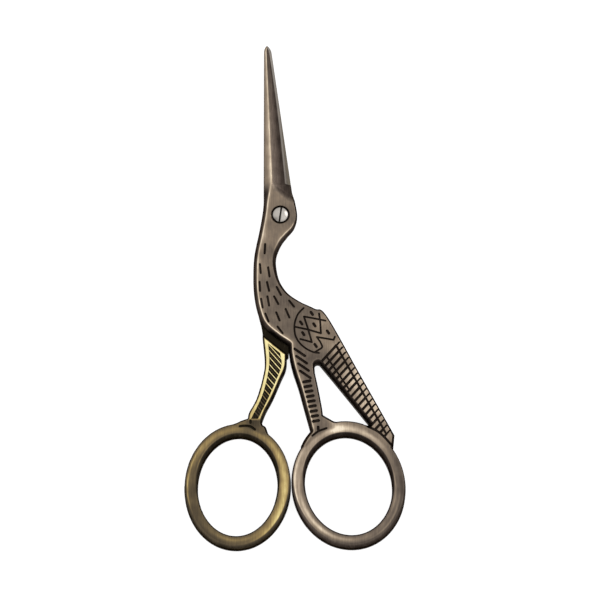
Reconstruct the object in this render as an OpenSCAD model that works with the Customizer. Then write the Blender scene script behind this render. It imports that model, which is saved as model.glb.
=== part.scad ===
// Stork embroidery scissors, lying flat and closed, in millimetres.
// The origin is the pivot axis on the plane that the scissors rest on.
// +Y runs to the tips, +X to the right and +Z up through the thickness.

/* [Thickness] */
// Thickness of each half where one lies over the other
layer_t = 1.65; // [1.3:0.05:2.2]
// Running gap between the two halves
ride_gap = 0.05; // [0.02:0.01:0.1]
// Width of the rounding along the upper edges
edge_round = 0.7; // [0.4:0.05:0.8]

/* [Blades] */
// From the pivot to the tips
blade_l = 39.4; // [33:0.5:46]
// From the pivot axis to the straight spine of the front blade
spine_x = 3.72; // [3.3:0.02:4]
// From the pivot to the heel of the blades
heel_y = 7.4; // [6.6:0.1:9]
// Width of the closed blades at the heel
heel_w = 6.0; // [5.4:0.1:6.4]
// Width of the closed blades at the tips
tip_w = 1.5; // [1:0.05:1.8]
// Thickness of each blade at its tip
tip_t = 0.75; // [0.55:0.05:1]
// How far each cutting edge lies inside the other blade's spine at the heel
edge_inset = 0.8; // [0.4:0.05:1]
// Swelling of the cutting edge between heel and tip
edge_belly = 0.25; // [0:0.05:0.4]
// Width of the bevel between spine and ridge at the heel
ridge_w = 1.8; // [1.2:0.1:2.2]
// Width of the same bevel at the tip
ridge_tip_w = 0.45; // [0.3:0.05:0.6]
// Depth of the hollow ground between ridge and cutting edge
hollow_depth = 0.22; // [0.05:0.01:0.3]
// Width of the bevel that forms the cutting edge
edge_bevel_w = 0.5; // [0.3:0.05:0.7]

/* [Pivot] */
// Width of the bird's head round the screw
head_w = 7.75; // [7.2:0.05:8.6]
// Diameter of the screw's plain shank
shank_d = 2.4; // [2.1:0.1:2.8]
// Gap all round the shank in the front half
shank_gap = 0.04; // [0.02:0.01:0.09]
// Diameter of the threaded end in the rear half
thread_d = 1.9; // [1.4:0.1:2]
// Gap all round the threaded end
thread_gap = 0.03; // [0.02:0.01:0.08]
// Diameter of the screw's head
screw_head_d = 3.5; // [3.1:0.1:4]
// Height of the head's straight side
screw_head_h = 0.45; // [0.3:0.05:0.6]
// Height of its dome
screw_dome_h = 0.35; // [0.15:0.05:0.5]
// Gap between the head and the wall of its recess
recess_gap = 0.3; // [0.1:0.05:0.5]
// Depth of the recess
recess_depth = 0.7; // [0.5:0.05:0.9]
// Width of the screwdriver slot
slot_w = 0.35; // [0.25:0.05:0.6]
// Depth of the slot below the top of the dome
slot_depth = 0.55; // [0.3:0.05:0.7]
// Turn of the slot away from the length of the blades
slot_turn = 8; // [0:1:90]

/* [Bird] */
// Width of the neck at its narrowest
neck_w = 4.95; // [4.4:0.05:5.6]
// From the pivot down to the narrowest place of the neck
neck_y = 10.6; // [9.6:0.1:11.6]
// From the pivot down to the wing's shoulder, where the tail begins
wing_y = 23.2; // [22:0.2:24.6]
// From the pivot across to the wing's shoulder
wing_x = 10.3; // [9:0.2:11.4]
// Width of the tail at its root
tail_root_w = 8.0; // [7:0.1:8.4]
// Width of the tail at its tip
tail_tip_w = 2.8; // [2.4:0.1:3.4]
// How far the tail's tip stands beyond the middle of the ring's band
tail_over = 3.7; // [2.8:0.1:4.2]
// Radius of the corner between front leg and tail
crotch_r = 0.7; // [0.5:0.05:0.9]

/* [Legs] */
// Width of the front leg below the body
front_thigh_w = 4.9; // [4.2:0.1:5.4]
// Width of the front leg above its foot
front_shin_w = 3.9; // [3.2:0.1:4.4]
// Width of the rear leg at its knee
rear_thigh_w = 4.7; // [4:0.1:5]
// Width of the rear leg above its foot
rear_shin_w = 3.55; // [2.8:0.05:4]
// Gap between the body and the raised part of the rear leg
shoulder_gap = 1.8; // [1:0.1:2.2]
// Gap between the rear leg and the thick part of the body
thigh_gap = 0.4; // [0.3:0.05:0.6]
// Width of the raised border round the rear leg's sunk panel
panel_border = 1.15; // [0.9:0.05:1.3]
// Depth of that panel
panel_depth = 0.35; // [0.1:0.05:0.6]

/* [Finger rings] */
// Width of the rear half's finger hole
rear_hole_w = 17.3; // [15.5:0.2:18.5]
// Length of the rear half's finger hole
rear_hole_l = 22; // [20.6:0.2:24]
// Lean of that hole towards the right at its top
rear_lean = 4; // [0:1:10]
// Width of the front half's finger hole
front_hole_w = 18.8; // [16.6:0.2:20]
// Length of the front half's finger hole
front_hole_l = 22.1; // [20.5:0.2:24.1]
// Lean of that hole towards the left at its top
front_lean = 13; // [4:1:16]
// Width of the metal round the rear half's hole
rear_band_w = 2.95; // [2.6:0.05:3.4]
// Width of the metal round the front half's hole
front_band_w = 2.95; // [2.6:0.05:3.4]
// Thickness of the rings
ring_t = 3.2; // [2.6:0.1:3.3]
// Radius of the rings' rounded corners
ring_round = 0.75; // [0.6:0.05:1.2]
// From the pivot down to the middle of the rear half's hole
ring_y = 61.4; // [58:0.2:65]
// How much higher the front half's hole lies
ring_shift = 0.2; // [0:0.1:0.6]
// Where the rings meet, to the right of the pivot
ring_meet_x = 2.42; // [1.8:0.1:3.4]
// Gap between the rings when the scissors are closed
ring_gap = 0.08; // [0.04:0.02:0.3]
// How far the front foot's upper edge stands outside the ring
foot_over = 0.45; // [0.2:0.05:0.8]

/* [Hidden] */
$fn = 64;
// Overlap of pieces that are fused, and overshoot of cuts
eps = 0.3;
total_t = 2 * layer_t + ride_gap;
front_under = layer_t + ride_gap;
// Steps between two points of an outline
outline_steps = 3;

function mix(a, b, t) = a + (b - a) * t;
function clamp01(t) = max(0, min(1, t));
function smooth(t) = let(u = clamp01(t)) u * u * (3 - 2 * u);
function unit(v) = v / norm(v);
function turned(v, a) = [v[0] * cos(a) - v[1] * sin(a), v[0] * sin(a) + v[1] * cos(a)];
// Right-hand side of a direction, which is outside on a counterclockwise outline
function outside(v) = [v[1], -v[0]];

// Smooth curve through the points p, from the first to the last
function curve_point(p, i, t) =
    let(b = p[i], c = p[i + 1])
    let(a = i > 0 ? p[i - 1] : 2 * b - c, d = i + 2 < len(p) ? p[i + 2] : 2 * c - b)
    (2 * b + (c - a) * t + (2 * a - 5 * b + 4 * c - d) * t * t + (3 * b - a - 3 * c + d) * t * t * t) / 2;
function curve(p, n = outline_steps) =
    [for (i = [0:len(p) - 2]) for (j = [0:n - 1]) curve_point(p, i, j / n)];
function arc(c, r, from, to, n) = [for (i = [0:n]) c + r * [cos(mix(from, to, i / n)), sin(mix(from, to, i / n))]];

// Outline p moved inwards by d, with mitred corners
function inset(p, d) = let(n = len(p)) [for (i = [0:n - 1])
    let(before = outside(unit(p[i] - p[(i + n - 1) % n])), after = outside(unit(p[(i + 1) % n] - p[i])))
    let(m = unit(before + after))
    p[i] - m * d / max(0.7, m * after)];

// Twice the area of a triangle, positive if its corners run counterclockwise
function turn(a, b, c) = (b[0] - a[0]) * (c[1] - a[1]) - (b[1] - a[1]) * (c[0] - a[0]);
function holds(a, b, c, q) = q != a && q != b && q != c && turn(a, b, q) >= 0 && turn(b, c, q) >= 0
    && turn(c, a, q) >= 0;
// Whether the corner between a and c can be cut off the rest of the outline
function free_corner(p, a, b, c, rest) = turn(p[a], p[b], p[c]) > 0
    && len([for (k = rest) if (holds(p[a], p[b], p[c], p[k])) k]) == 0;
function first_free(p, rest, i = 0) = let(n = len(rest))
    i >= n ? 0 : free_corner(p, rest[i], rest[(i + 1) % n], rest[(i + 2) % n], rest) ? i : first_free(p, rest, i + 1);
// Triangles that fill the outline p, cut off one corner after another
function filled(p, rest, done = []) = let(n = len(rest))
    n == 3 ? concat(done, [rest]) : let(i = first_free(p, rest))
    filled(p, [for (k = [2:n]) rest[(i + k) % n]], concat(done, [[for (k = [0:2]) rest[(i + k) % n]]]));
function cap(loop) = filled(loop, [for (i = [0:len(loop) - 1]) i]);

// Solid skin over a stack of equal-length loops of 3D points, with the triangles that close its two ends
module skin(loops, first_cap, last_cap) {
    n = len(loops[0]);
    last = (len(loops) - 1) * n;
    polyhedron(
        points = [for (loop = loops) for (p = loop) p],
        faces = concat(
            first_cap,
            [for (k = [0:n:last - n]) for (i = [0:n - 1]) [k + i, k + n + i, k + n + (i + 1) % n, k + (i + 1) % n]],
            [for (f = last_cap) [for (i = [len(f) - 1:-1:0]) last + f[i]]]),
        convexity = 8);
}

// Plate with an edge that rounds over into its upper face
module forged_plate(outline, z0, z1) {
    levels = concat([[z0, 0]], [for (a = [0, 42, 90]) [z1 - edge_round * (1 - sin(a)), edge_round * (1 - cos(a))]]);
    skin([for (level = levels) [for (p = inset(outline, level[1])) [p[0], p[1], level[0]]]],
        cap(outline), cap(inset(outline, edge_round)));
}

// Finger rings

// Half width and half length of the oval along the middle of a band
function oval(hole_w, hole_l, band_w) = [(hole_w + band_w) / 2, (hole_l + band_w) / 2];
// Half width of a leaning oval
function oval_reach(o, lean) = norm([o[0] * cos(lean), o[1] * sin(lean)]);
// Point a degrees round an oval, out by some distance square to it
function band_point(o, a, out) = [o[0] * cos(a), o[1] * sin(a)] + out * unit([o[1] * cos(a), o[0] * sin(a)]);

rear_oval = oval(rear_hole_w, rear_hole_l, rear_band_w);
front_oval = oval(front_hole_w, front_hole_l, front_band_w);
rear_ring = [ring_meet_x - (ring_gap + rear_band_w) / 2 - oval_reach(rear_oval, rear_lean), -ring_y];
front_ring = [ring_meet_x + (ring_gap + front_band_w) / 2 + oval_reach(front_oval, front_lean), ring_shift - ring_y];
function rear_band(a, out = 0) = rear_ring + turned(band_point(rear_oval, a, out), -rear_lean);
function front_band(a, out = 0) = front_ring + turned(band_point(front_oval, a, out), front_lean);

ring_z = (total_t - ring_t) / 2;
// Section of a band, as distances outwards and heights
function band_section(band_w) = [for (corner = [[1, 1, 0], [-1, 1, 90], [-1, 0, 180], [1, 0, 270]])
    for (a = [0, 45, 90])
        [corner[0] * (band_w / 2 - ring_round) + ring_round * cos(corner[2] + a),
            ring_z + (corner[1] == 1 ? ring_t - ring_round : ring_round) + ring_round * sin(corner[2] + a)]];

// Ring swept round, where band(a, out) gives the place of a point
module finger_ring(band, band_w) {
    turns = 60;
    section = band_section(band_w);
    m = len(section);
    polyhedron(
        points = [for (k = [0:turns - 1]) for (p = section)
            let(q = band(360 * k / turns, p[0])) [q[0], q[1], p[1]]],
        faces = [for (k = [0:turns - 1]) for (i = [0:m - 1])
            let(next = (k + 1) % turns, j = (i + 1) % m) [k * m + i, k * m + j, next * m + j, next * m + i]],
        convexity = 8);
}

// Blades

// Along a blade, from 0 at the heel to 1 at the tip
function along(y) = (y - heel_y) / (blade_l - heel_y);
tip_round = tip_w;
// Share of the full width that the rounded tip leaves at height y
function tip_share(y) = let(u = clamp01((y - blade_l + tip_round) / tip_round)) max(0.3, sqrt(1 - u * u));
function left_side(y) = -spine_x;
function right_side(y) = -spine_x + mix(heel_w, tip_w, along(y));
function tip_axis(y) = (left_side(y) + right_side(y)) / 2;
function rounded_side(x, y) = mix(tip_axis(y), x, tip_share(y));
// Short step behind which a blade keeps its full width
step_y = heel_y - 0.4;
step_l = 0.25;
function stepped(y) = clamp01((y - step_y) / step_l);
function inset_at(y) = stepped(y) * mix(edge_inset, 0.08, clamp01(along(y))) - edge_belly * sin(180 * clamp01(along(y)));
// Sides of the two blades at height y: spine, then cutting edge
function front_sides(y) = [rounded_side(left_side(y), y), rounded_side(right_side(y) - inset_at(y), y)];
function rear_sides(y) = [rounded_side(right_side(y), y), rounded_side(left_side(y) + inset_at(y), y)];

// How deep the root of a blade lies inside the head at height y
root_end = 5.8;
function root_sink(y) = 0.055 * max(0, root_end - y);

// Section of a blade at height y, as distances from the spine and heights over the inner face
plunge_l = 2.2;
// Thickness of the cutting edge itself
edge_t = 0.06;
function blade_section(y, w) =
    let(t = mix(layer_t, tip_t, clamp01(along(y))))
    let(ridge = min(mix(edge_round, mix(ridge_w, ridge_tip_w, clamp01(along(y))), smooth((y - 4) / 4)), 0.45 * w))
    let(drop = mix(edge_round, 0.5 * ridge, smooth((y - 4) / 4)))
    let(bevel = min(edge_bevel_w, 0.25 * w))
    let(shoulder = 0.42 * t)
    concat(
        [[0, 0], [0, t - drop], [0.25 * ridge, t - 0.6 * drop], [ridge, t]],
        [for (u = [0.25, 0.5, 0.75, 1])
            let(d = mix(ridge, w - bevel, u))
            let(ground = mix(t, shoulder, u) - hollow_depth * t / layer_t * 4 * u * (1 - u))
            let(cut = smooth((y - heel_y + plunge_l * (0.3 + u)) / plunge_l))
            [d, mix(t, ground, cut)]],
        [[w, mix(mix(t - 0.3, shoulder, smooth((y - heel_y + 1.3 * plunge_l) / plunge_l)), edge_t, stepped(y))],
            [w, 0]]);

stations = concat([for (y = [3:0.5:step_y - 0.3]) y], [step_y, step_y + step_l, heel_y + 0.5, heel_y + 1],
    [for (k = [1:6]) mix(heel_y + 1, blade_l - tip_round, k / 6)], [for (a = [30:20:90]) blade_l - tip_round + tip_round * sin(a)]);

// Blade with its spine at spines(y)[0] and its cutting edge at spines(y)[1]
module blade(sides, z, up) {
    ends = [[for (i = [0:len(blade_section(0, 1)) - 1]) i]];
    skin([for (y = stations)
        let(s = sides(y), w = abs(s[1] - s[0]), way = sign(s[1] - s[0]), middle = [w / 2, layer_t / 2])
        [for (p = blade_section(y, w))
            let(q = p - root_sink(y) * [sign(p[0] - middle[0]), sign(p[1] - middle[1])])
            [s[0] + way * q[0], y, z + up * q[1]]]], ends, ends);
}

// Outline of the front half, counterclockwise from the blade down its left side

// How far a hidden edge stays inside what covers it
tuck = 0.2;
neck_mid = [-neck_w / 2 - 0.87, -neck_y];
breast = [-5.75, -18.4];
// Lower edge of the body, from the breast to the corner above the front leg
body_edge = [[-5.0, -22.2], [-3.75, -25.1], [-1.1, -27.6], [1.8, -29.6]];
shoulder = [wing_x, -wing_y];
tail_tip = front_band(33, tail_over);
tail_way = unit(tail_tip - shoulder);
tail_across = [tail_way[1], -tail_way[0]];
function tail_inner(t) = mix(shoulder, tail_tip, t) + tail_across * mix(tail_root_w, tail_tip_w, t);
// Middle of the front leg, from the hip to the ankle
front_leg = [[5.18, -34.4], [6.17, -39.4], [7.15, -43.6]];
front_calf_w = mix(front_thigh_w, front_shin_w, 0.6);
crotch = [8.2, -33.75 - crotch_r];

front_left = curve([[-spine_x, 4.9], [-spine_x - 0.02, 2.4], [-head_w / 2 - 0.17, -0.3], [-4.7, -4],
    neck_mid - [neck_w / 2 - 0.07, -1.2], [-5.96, -14.4], breast, body_edge[0], body_edge[1], body_edge[2],
    body_edge[3]]);
front_leg_left = concat(
    curve([body_edge[3], [1.98, -32], front_leg[0] - [front_thigh_w / 2, 1], front_leg[1] - [front_calf_w / 2, 0],
        front_leg[2] - [front_shin_w / 2, 0.2], front_band(113, 2.45)]),
    [front_band(113, 2.45), front_band(119, 2.2), front_band(124, 2), front_band(130, 1.7)],
    [for (a = [131, 117, 100, 85]) front_band(a, -tuck)]);
toe = front_leg[2] + [front_shin_w / 2 + 0.25, -1.85];
front_leg_right = concat([front_band(87, 1.7)],
    curve([toe, front_leg[2] + [front_shin_w / 2, 0], front_leg[1] + [front_calf_w / 2, 0], [7.5, -35.6]]),
    arc(crotch, crotch_r, 175, 40, 4));
// Upper edge of the foot, which thickens the ring as far as the tail
front_foot = concat([for (a = [50:7:92]) front_band(a, front_band_w / 2 + foot_over)],
    [for (a = [92:-7:50]) front_band(a, -0.3)]);
front_tail = concat(
    curve([tail_inner(0.42), tail_inner(0.62), tail_inner(0.84)]),
    [tail_inner(0.84)], [for (a = [60, 42, 25]) front_band(a, -tuck)], [front_band(25, 1.7)]);
front_back = curve([tail_tip, mix(shoulder, tail_tip, 0.5), shoulder, [7.6, -21.45], [4.2, -19.8], [1.6, -17.9],
    [-0.12, -15.3], [-0.88, -12.2], neck_mid + [neck_w / 2, 1], [0.15, -6.9], [1.5, -5], [3.05, -3],
    [head_w / 2 - 0.15, -0.3], [3.2, 3.2]]);
front_outline = concat(front_left, front_leg_left, front_leg_right, front_tail, front_back, [[3.2, 3.2], [2.7, 4.9]]);

// Outline of the rear half, counterclockwise from the head down its left side

// Middle of the rear leg, from the knee to the ankle
rear_leg = [[-1.05, -33.6], [-1.9, -37.6], [-3.4, -41.8], [-4.95, -44.8]];
rear_calf_w = mix(rear_thigh_w, rear_shin_w, 0.5);
// Right edge of the thigh under the body
thigh_right = [[-0.9, -13.5], [-0.2, -17.5], [0.7, -21.5], [1.4, -25.5], [1.85, -29.5]];

// Line along which the raised leg ends under the body
shoulder_way = unit(body_edge[3] - body_edge[1]);
shoulder_from = body_edge[1] + outside(shoulder_way) * shoulder_gap;
function on_shoulder(x) = shoulder_from + shoulder_way * (x - shoulder_from[0]) / shoulder_way[0];

thigh_left = curve([[-3.4, 4.9], [-3.6, 2.2], [-head_w / 2 + tuck, -0.3], [-4.5, -4],
    neck_mid - [neck_w / 2 - 0.07 - tuck, -1.2], [-5.76, -14.4], breast + [tuck, 0], [-4.85, -22.4], [-4.15, -25.2],
    [-3.6, -28.4], [-2.9, -30.6]]);
thigh_back = curve([[1.85, -32.2], thigh_right[4], thigh_right[3], thigh_right[2], thigh_right[1], thigh_right[0],
    neck_mid + [neck_w / 2 - tuck, 0.8], [0, -6.6], [1.4, -4.7], [2.9, -2.7], [head_w / 2 - 0.15 - tuck, -0.2],
    [3.05, 3.2]]);
thigh_outline = concat(thigh_left, [[-2.9, -30.6], [0.9, -32.9]], thigh_back, [[3.05, 3.2], [2.6, 4.9]]);

rear_calf_left = curve([on_shoulder(-3.95), rear_leg[0] - [rear_thigh_w / 2, 0], rear_leg[1] - [rear_calf_w / 2, 0],
    rear_leg[2] - [rear_shin_w / 2, 0], rear_leg[3] - [rear_shin_w / 2, 0], rear_band(85.5, 2.85)]);
rear_foot = concat([rear_band(85.5, 2.85), rear_band(92.5, 2.1), rear_band(99, 1.45)],
    [for (a = [99, 80, 60]) rear_band(a, -tuck)]);
rear_calf_right = curve([rear_band(61.5, 1.6), rear_band(66.7, 2.45), rear_band(71.7, 2.85),
    rear_leg[3] + [rear_shin_w / 2, 0], rear_leg[2] + [rear_shin_w / 2, 0], rear_leg[1] + [rear_calf_w / 2, 0],
    rear_leg[0] + [rear_thigh_w / 2, -1.2], on_shoulder(1.5)]);
rear_leg_outline = concat(rear_calf_left, rear_foot, rear_calf_right, [on_shoulder(1.5)]);

// Sunk panel of the rear leg, from its slanting upper end down to the ankle
panel_top = [-2.64, -29.45];
panel_end = [-5.6, -46.4];
panel_half = [rear_thigh_w, rear_calf_w, rear_shin_w] / 2 - panel_border * [1, 1, 1];
leg_panel = concat(
    curve([panel_top, rear_leg[0] - [panel_half[0], 0], rear_leg[1] - [panel_half[1], 0],
        rear_leg[2] - [panel_half[2], 0], panel_end - [panel_half[2], 0]]),
    [panel_end - [panel_half[2], 0]],
    curve([panel_end + [panel_half[2], 0], rear_leg[2] + [panel_half[2], 0], rear_leg[1] + [panel_half[1], 0],
        rear_leg[0] + [panel_half[0], -0.8], panel_top + [2.65, -2.2]]),
    [panel_top + [2.65, -2.2]]);

// Part of the front half that the rear half lies under
module front_rebate() {
    seam = [for (p = thigh_right) p + [thigh_gap, 0]];
    translate([0, 0, -eps]) linear_extrude(front_under + eps)
        polygon(concat([[-20, 10], [20, 10], [20, -12], [0.3, -12]], curve(seam), [seam[4], [seam[4][0], -32.6],
            [-20, -32.6]]));
}

// The foot's faces lie just inside those of the ring
foot_z = ring_z + 0.08;

module front_half() {
    color([0.46, 0.40, 0.34]) difference() {
        union() {
            difference() {
                forged_plate(front_outline, 0, total_t);
                front_rebate();
            }
            blade(function (y) front_sides(y), front_under, 1);
            finger_ring(function (a, out) front_band(a, out), front_band_w);
            forged_plate(front_foot, foot_z, total_t - foot_z);
        }
        cylinder(d = shank_d + 2 * shank_gap, h = total_t + eps);
        translate([0, 0, total_t - recess_depth])
            cylinder(d = screw_head_d + 2 * recess_gap, h = recess_depth + eps);
    }
}

module rear_half() {
    color([0.62, 0.52, 0.28]) difference() {
        union() {
            linear_extrude(layer_t) polygon(thigh_outline);
            forged_plate(rear_leg_outline, 0, total_t);
            blade(function (y) rear_sides(y), layer_t, -1);
            finger_ring(function (a, out) rear_band(a, out), rear_band_w);
        }
        translate([0, 0, -eps]) cylinder(d = thread_d + 2 * thread_gap, h = total_t + eps);
        translate([0, 0, total_t - panel_depth]) linear_extrude(panel_depth + eps) polygon(leg_panel);
    }
}

module pivot_screw() {
    seat = total_t - recess_depth + ride_gap;
    // Radius of the dome, from its height and the head's width
    dome_r = (screw_head_d * screw_head_d / 4 + screw_dome_h * screw_dome_h) / (2 * screw_dome_h);
    color([0.82, 0.82, 0.80]) difference() {
        union() {
            cylinder(d = thread_d, h = layer_t + 0.1);
            translate([0, 0, layer_t]) cylinder(d = shank_d, h = seat - layer_t + 0.05);
            intersection() {
                translate([0, 0, seat]) cylinder(d = screw_head_d, h = screw_head_h + screw_dome_h);
                translate([0, 0, seat + screw_head_h + screw_dome_h - dome_r]) sphere(r = dome_r);
            }
        }
        rotate(-slot_turn) translate([-slot_w / 2, -screw_head_d, seat + screw_head_h + screw_dome_h - slot_depth])
            cube([slot_w, 2 * screw_head_d, slot_depth + eps]);
    }
}

front_half();
rear_half();
pivot_screw();
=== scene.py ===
"""Stork embroidery scissors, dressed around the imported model.

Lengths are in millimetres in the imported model's frame, and become metres where a mesh is made.
"""
import logging
import math
from collections.abc import Callable
from dataclasses import dataclass
from enum import Enum

import bpy
import numpy as np
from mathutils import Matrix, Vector
from mathutils.geometry import delaunay_2d_cdt


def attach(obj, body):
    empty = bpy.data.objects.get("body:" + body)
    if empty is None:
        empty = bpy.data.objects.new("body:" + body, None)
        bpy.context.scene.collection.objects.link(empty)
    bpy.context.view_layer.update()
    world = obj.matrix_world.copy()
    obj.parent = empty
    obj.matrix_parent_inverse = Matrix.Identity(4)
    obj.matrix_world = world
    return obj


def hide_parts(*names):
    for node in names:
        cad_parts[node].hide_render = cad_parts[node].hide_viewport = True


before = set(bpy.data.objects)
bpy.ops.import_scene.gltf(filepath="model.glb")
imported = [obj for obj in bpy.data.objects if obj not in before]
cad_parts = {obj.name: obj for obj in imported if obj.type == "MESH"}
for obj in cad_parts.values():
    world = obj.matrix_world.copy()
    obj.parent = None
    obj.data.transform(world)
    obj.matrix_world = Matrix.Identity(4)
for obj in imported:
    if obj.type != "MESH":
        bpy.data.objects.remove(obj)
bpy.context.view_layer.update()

LOG = logging.getLogger("stork_scissors")
MM = 0.001
# Points of the plane, one a row, or a single point
Points = np.ndarray
# One number for each point, or a single number
Values = np.ndarray

# Sizes that the halves share

LAYER_T = 1.65
RIDE_GAP = 0.05
TOTAL_T = 2 * LAYER_T + RIDE_GAP
FRONT_UNDER = LAYER_T + RIDE_GAP
RING_T = 3.2
RING_Z = (TOTAL_T - RING_T) / 2
# Thinnest that the metal gets anywhere
THINNEST = 0.04
# Half the width of the strip in which a step's two edges lie
STEP = 0.008
# How far distances to an outline are followed
REACH = 2.3
# How far a hidden outline stays inside the one above it, and how far a plate runs into a ring
TUCK = 0.2
# Depth of the engraved grooves, and the slope of their walls
GROOVE_DEEP = 0.26
GROOVE_WALL = 0.09
# Pieces in which a circle round the pivot is drawn
ROUND_STEPS = 72


class Body(Enum):
    """The two bodies that turn about the pivot."""

    FRONT = "front"
    REAR = "rear"


class Slot(Enum):
    """The record's material slots."""

    BRONZED = "bronzed_steel"
    BRASSED = "brassed_steel"
    BRIGHT = "bright_steel"


# Plane geometry


def xy(x: float, y: float) -> Points:
    """Point of the plane."""
    return np.array([x, y], float)


def mix(a: Values, b: Values, t: Values) -> Values:
    """Value between a and b at share t."""
    return a + (b - a) * t


def smooth(t: Values) -> Values:
    """Eased share from 0 to 1."""
    u = np.clip(t, 0.0, 1.0)
    return u * u * (3 - 2 * u)


def unit(v: Points) -> Points:
    """Direction of a vector."""
    return v / np.linalg.norm(v)


def turned(v: Points, degrees: float) -> Points:
    """Vector turned counterclockwise.

    Args:
        v: The vector.
        degrees: How far to turn it.

    Returns:
        The turned vector.
    """
    c = math.cos(math.radians(degrees))
    s = math.sin(math.radians(degrees))
    return xy(v[0] * c - v[1] * s, v[0] * s + v[1] * c)


def curve(points: list, steps: int = 8) -> Points:
    """Smooth curve through points, without its last point.

    Args:
        points: Points that the curve passes.
        steps: Pieces between two points.

    Returns:
        The curve's points, one a row.
    """
    p = np.array(points, float)
    ends = np.vstack([2 * p[0] - p[1], p, 2 * p[-1] - p[-2]])
    t = (np.arange(steps) / steps)[:, None]
    rows = []
    for a, b, c, d in zip(ends, ends[1:], ends[2:], ends[3:]):
        straight = 2 * b + (c - a) * t
        square = (2 * a - 5 * b + 4 * c - d) * t**2
        cube = (3 * b - a - 3 * c + d) * t**3
        rows.append((straight + square + cube) / 2)
    return np.vstack(rows)


def arc(centre: Points, radius: float, start: float, end: float, steps: int) -> Points:
    """Points round part of a circle, angles in degrees.

    Args:
        centre: Centre of the circle.
        radius: Radius of the circle.
        start: Angle of the first point.
        end: Angle of the last point.
        steps: Pieces between the two.

    Returns:
        The points, one a row.
    """
    a = np.radians(np.linspace(start, end, steps + 1))
    return centre + radius * np.stack([np.cos(a), np.sin(a)], 1)


def joined(*parts: list) -> Points:
    """Points of several paths in one."""
    return np.vstack([np.atleast_2d(np.array(part, float)) for part in parts])


def outward(path: Points) -> Points:
    """Outward directions at the points of a counterclockwise outline.

    Args:
        path: The closed outline's points.

    Returns:
        One unit vector for each point.
    """
    along = np.roll(path, -1, 0) - np.roll(path, 1, 0)
    side = np.stack([along[:, 1], -along[:, 0]], 1)
    return side / np.maximum(np.linalg.norm(side, axis=1), 1e-9)[:, None]


def shifted(path: Points, by: float) -> Points:
    """Open path moved to its right.

    Args:
        path: The path's points.
        by: How far to move it.

    Returns:
        The moved path.
    """
    along = np.gradient(path, axis=0)
    side = np.stack([along[:, 1], -along[:, 0]], 1)
    return path + by * side / np.linalg.norm(side, axis=1)[:, None]


def nearest(points: Points, path: Points, closed: bool, reach: float = REACH) -> tuple[Values, Values]:
    """Distance from each point to a path.

    Args:
        points: Points to measure from.
        path: The path's points.
        closed: Whether the path closes.
        reach: Distance past which nothing is measured.

    Returns:
        The distances, at most reach, and the nearest places on the path. A place is a point's number plus the
        share of the way to the next point.
    """
    order = np.argsort(points[:, 1])
    sorted_points = points[order]
    heights = sorted_points[:, 1]
    best = np.full(len(points), reach)
    place = np.zeros(len(points))
    ends = np.roll(path, -1, 0) if closed else path[1:]
    for i, (p, q) in enumerate(zip(path, ends)):
        low = np.searchsorted(heights, min(p[1], q[1]) - reach)
        high = np.searchsorted(heights, max(p[1], q[1]) + reach)
        x = sorted_points[low:high, 0]
        close = low + np.flatnonzero((x > min(p[0], q[0]) - reach) & (x < max(p[0], q[0]) + reach))
        if not len(close):
            continue
        way = q - p
        off = sorted_points[close] - p
        share = np.clip(off @ way / max(way @ way, 1e-12), 0, 1)
        distance = np.hypot(off[:, 0] - share * way[0], off[:, 1] - share * way[1])
        nearer = distance < best[close]
        best[close[nearer]] = distance[nearer]
        place[close[nearer]] = i + share[nearer]
    back = np.argsort(order)
    return best[back], place[back]


def inside(points: Points, outline: Points) -> Values:
    """Whether each point lies inside an outline.

    Args:
        points: Points to test.
        outline: The closed outline's points.

    Returns:
        One truth value for each point.
    """
    order = np.argsort(points[:, 1])
    x, y = points[order, 0], points[order, 1]
    flags = np.zeros(len(points), bool)
    for p, q in zip(outline, np.roll(outline, -1, 0)):
        if p[1] == q[1]:
            continue
        low, high = np.searchsorted(y, sorted((p[1], q[1])))
        crossing = p[0] + (y[low:high] - p[1]) * (q[0] - p[0]) / (q[1] - p[1])
        flags[low:high] ^= x[low:high] < crossing
    return flags[np.argsort(order)]


def depth(points: Points, outline: Points) -> tuple[Values, Values]:
    """Depth of points inside an outline, negative outside.

    Args:
        points: Points to measure.
        outline: The closed outline's points.

    Returns:
        The depths, and the nearest places on the outline.
    """
    distance, place = nearest(points, outline, True)
    return np.where(inside(points, outline), distance, -distance), place


def along_outline(values: Values, place: Values) -> Values:
    """Values of an outline's points, read at places between them.

    Args:
        values: One value for each of the outline's points.
        place: Places as nearest() gives them.

    Returns:
        One value for each place.
    """
    first = place.astype(int)
    n = len(values)
    return mix(values[first % n], values[(first + 1) % n], place - first)


@dataclass(frozen=True)
class Ramp:
    """Value that runs straight from one place to the next along a measure."""

    places: tuple
    values: tuple

    def at(self, measure: Values) -> Values:
        """Value at each measure."""
        return np.interp(measure, self.places, self.values)


def union(a: Values, b: Values, fillet: float) -> Values:
    """Depth in two shapes joined with a fillet.

    Args:
        a: Depth in the first.
        b: Depth in the second.
        fillet: Width over which they blend.

    Returns:
        The joined shape's depth.
    """
    near = np.maximum(fillet - np.abs(a - b), 0) / fillet
    return np.maximum(a, b) + near * near * fillet / 4


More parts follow.
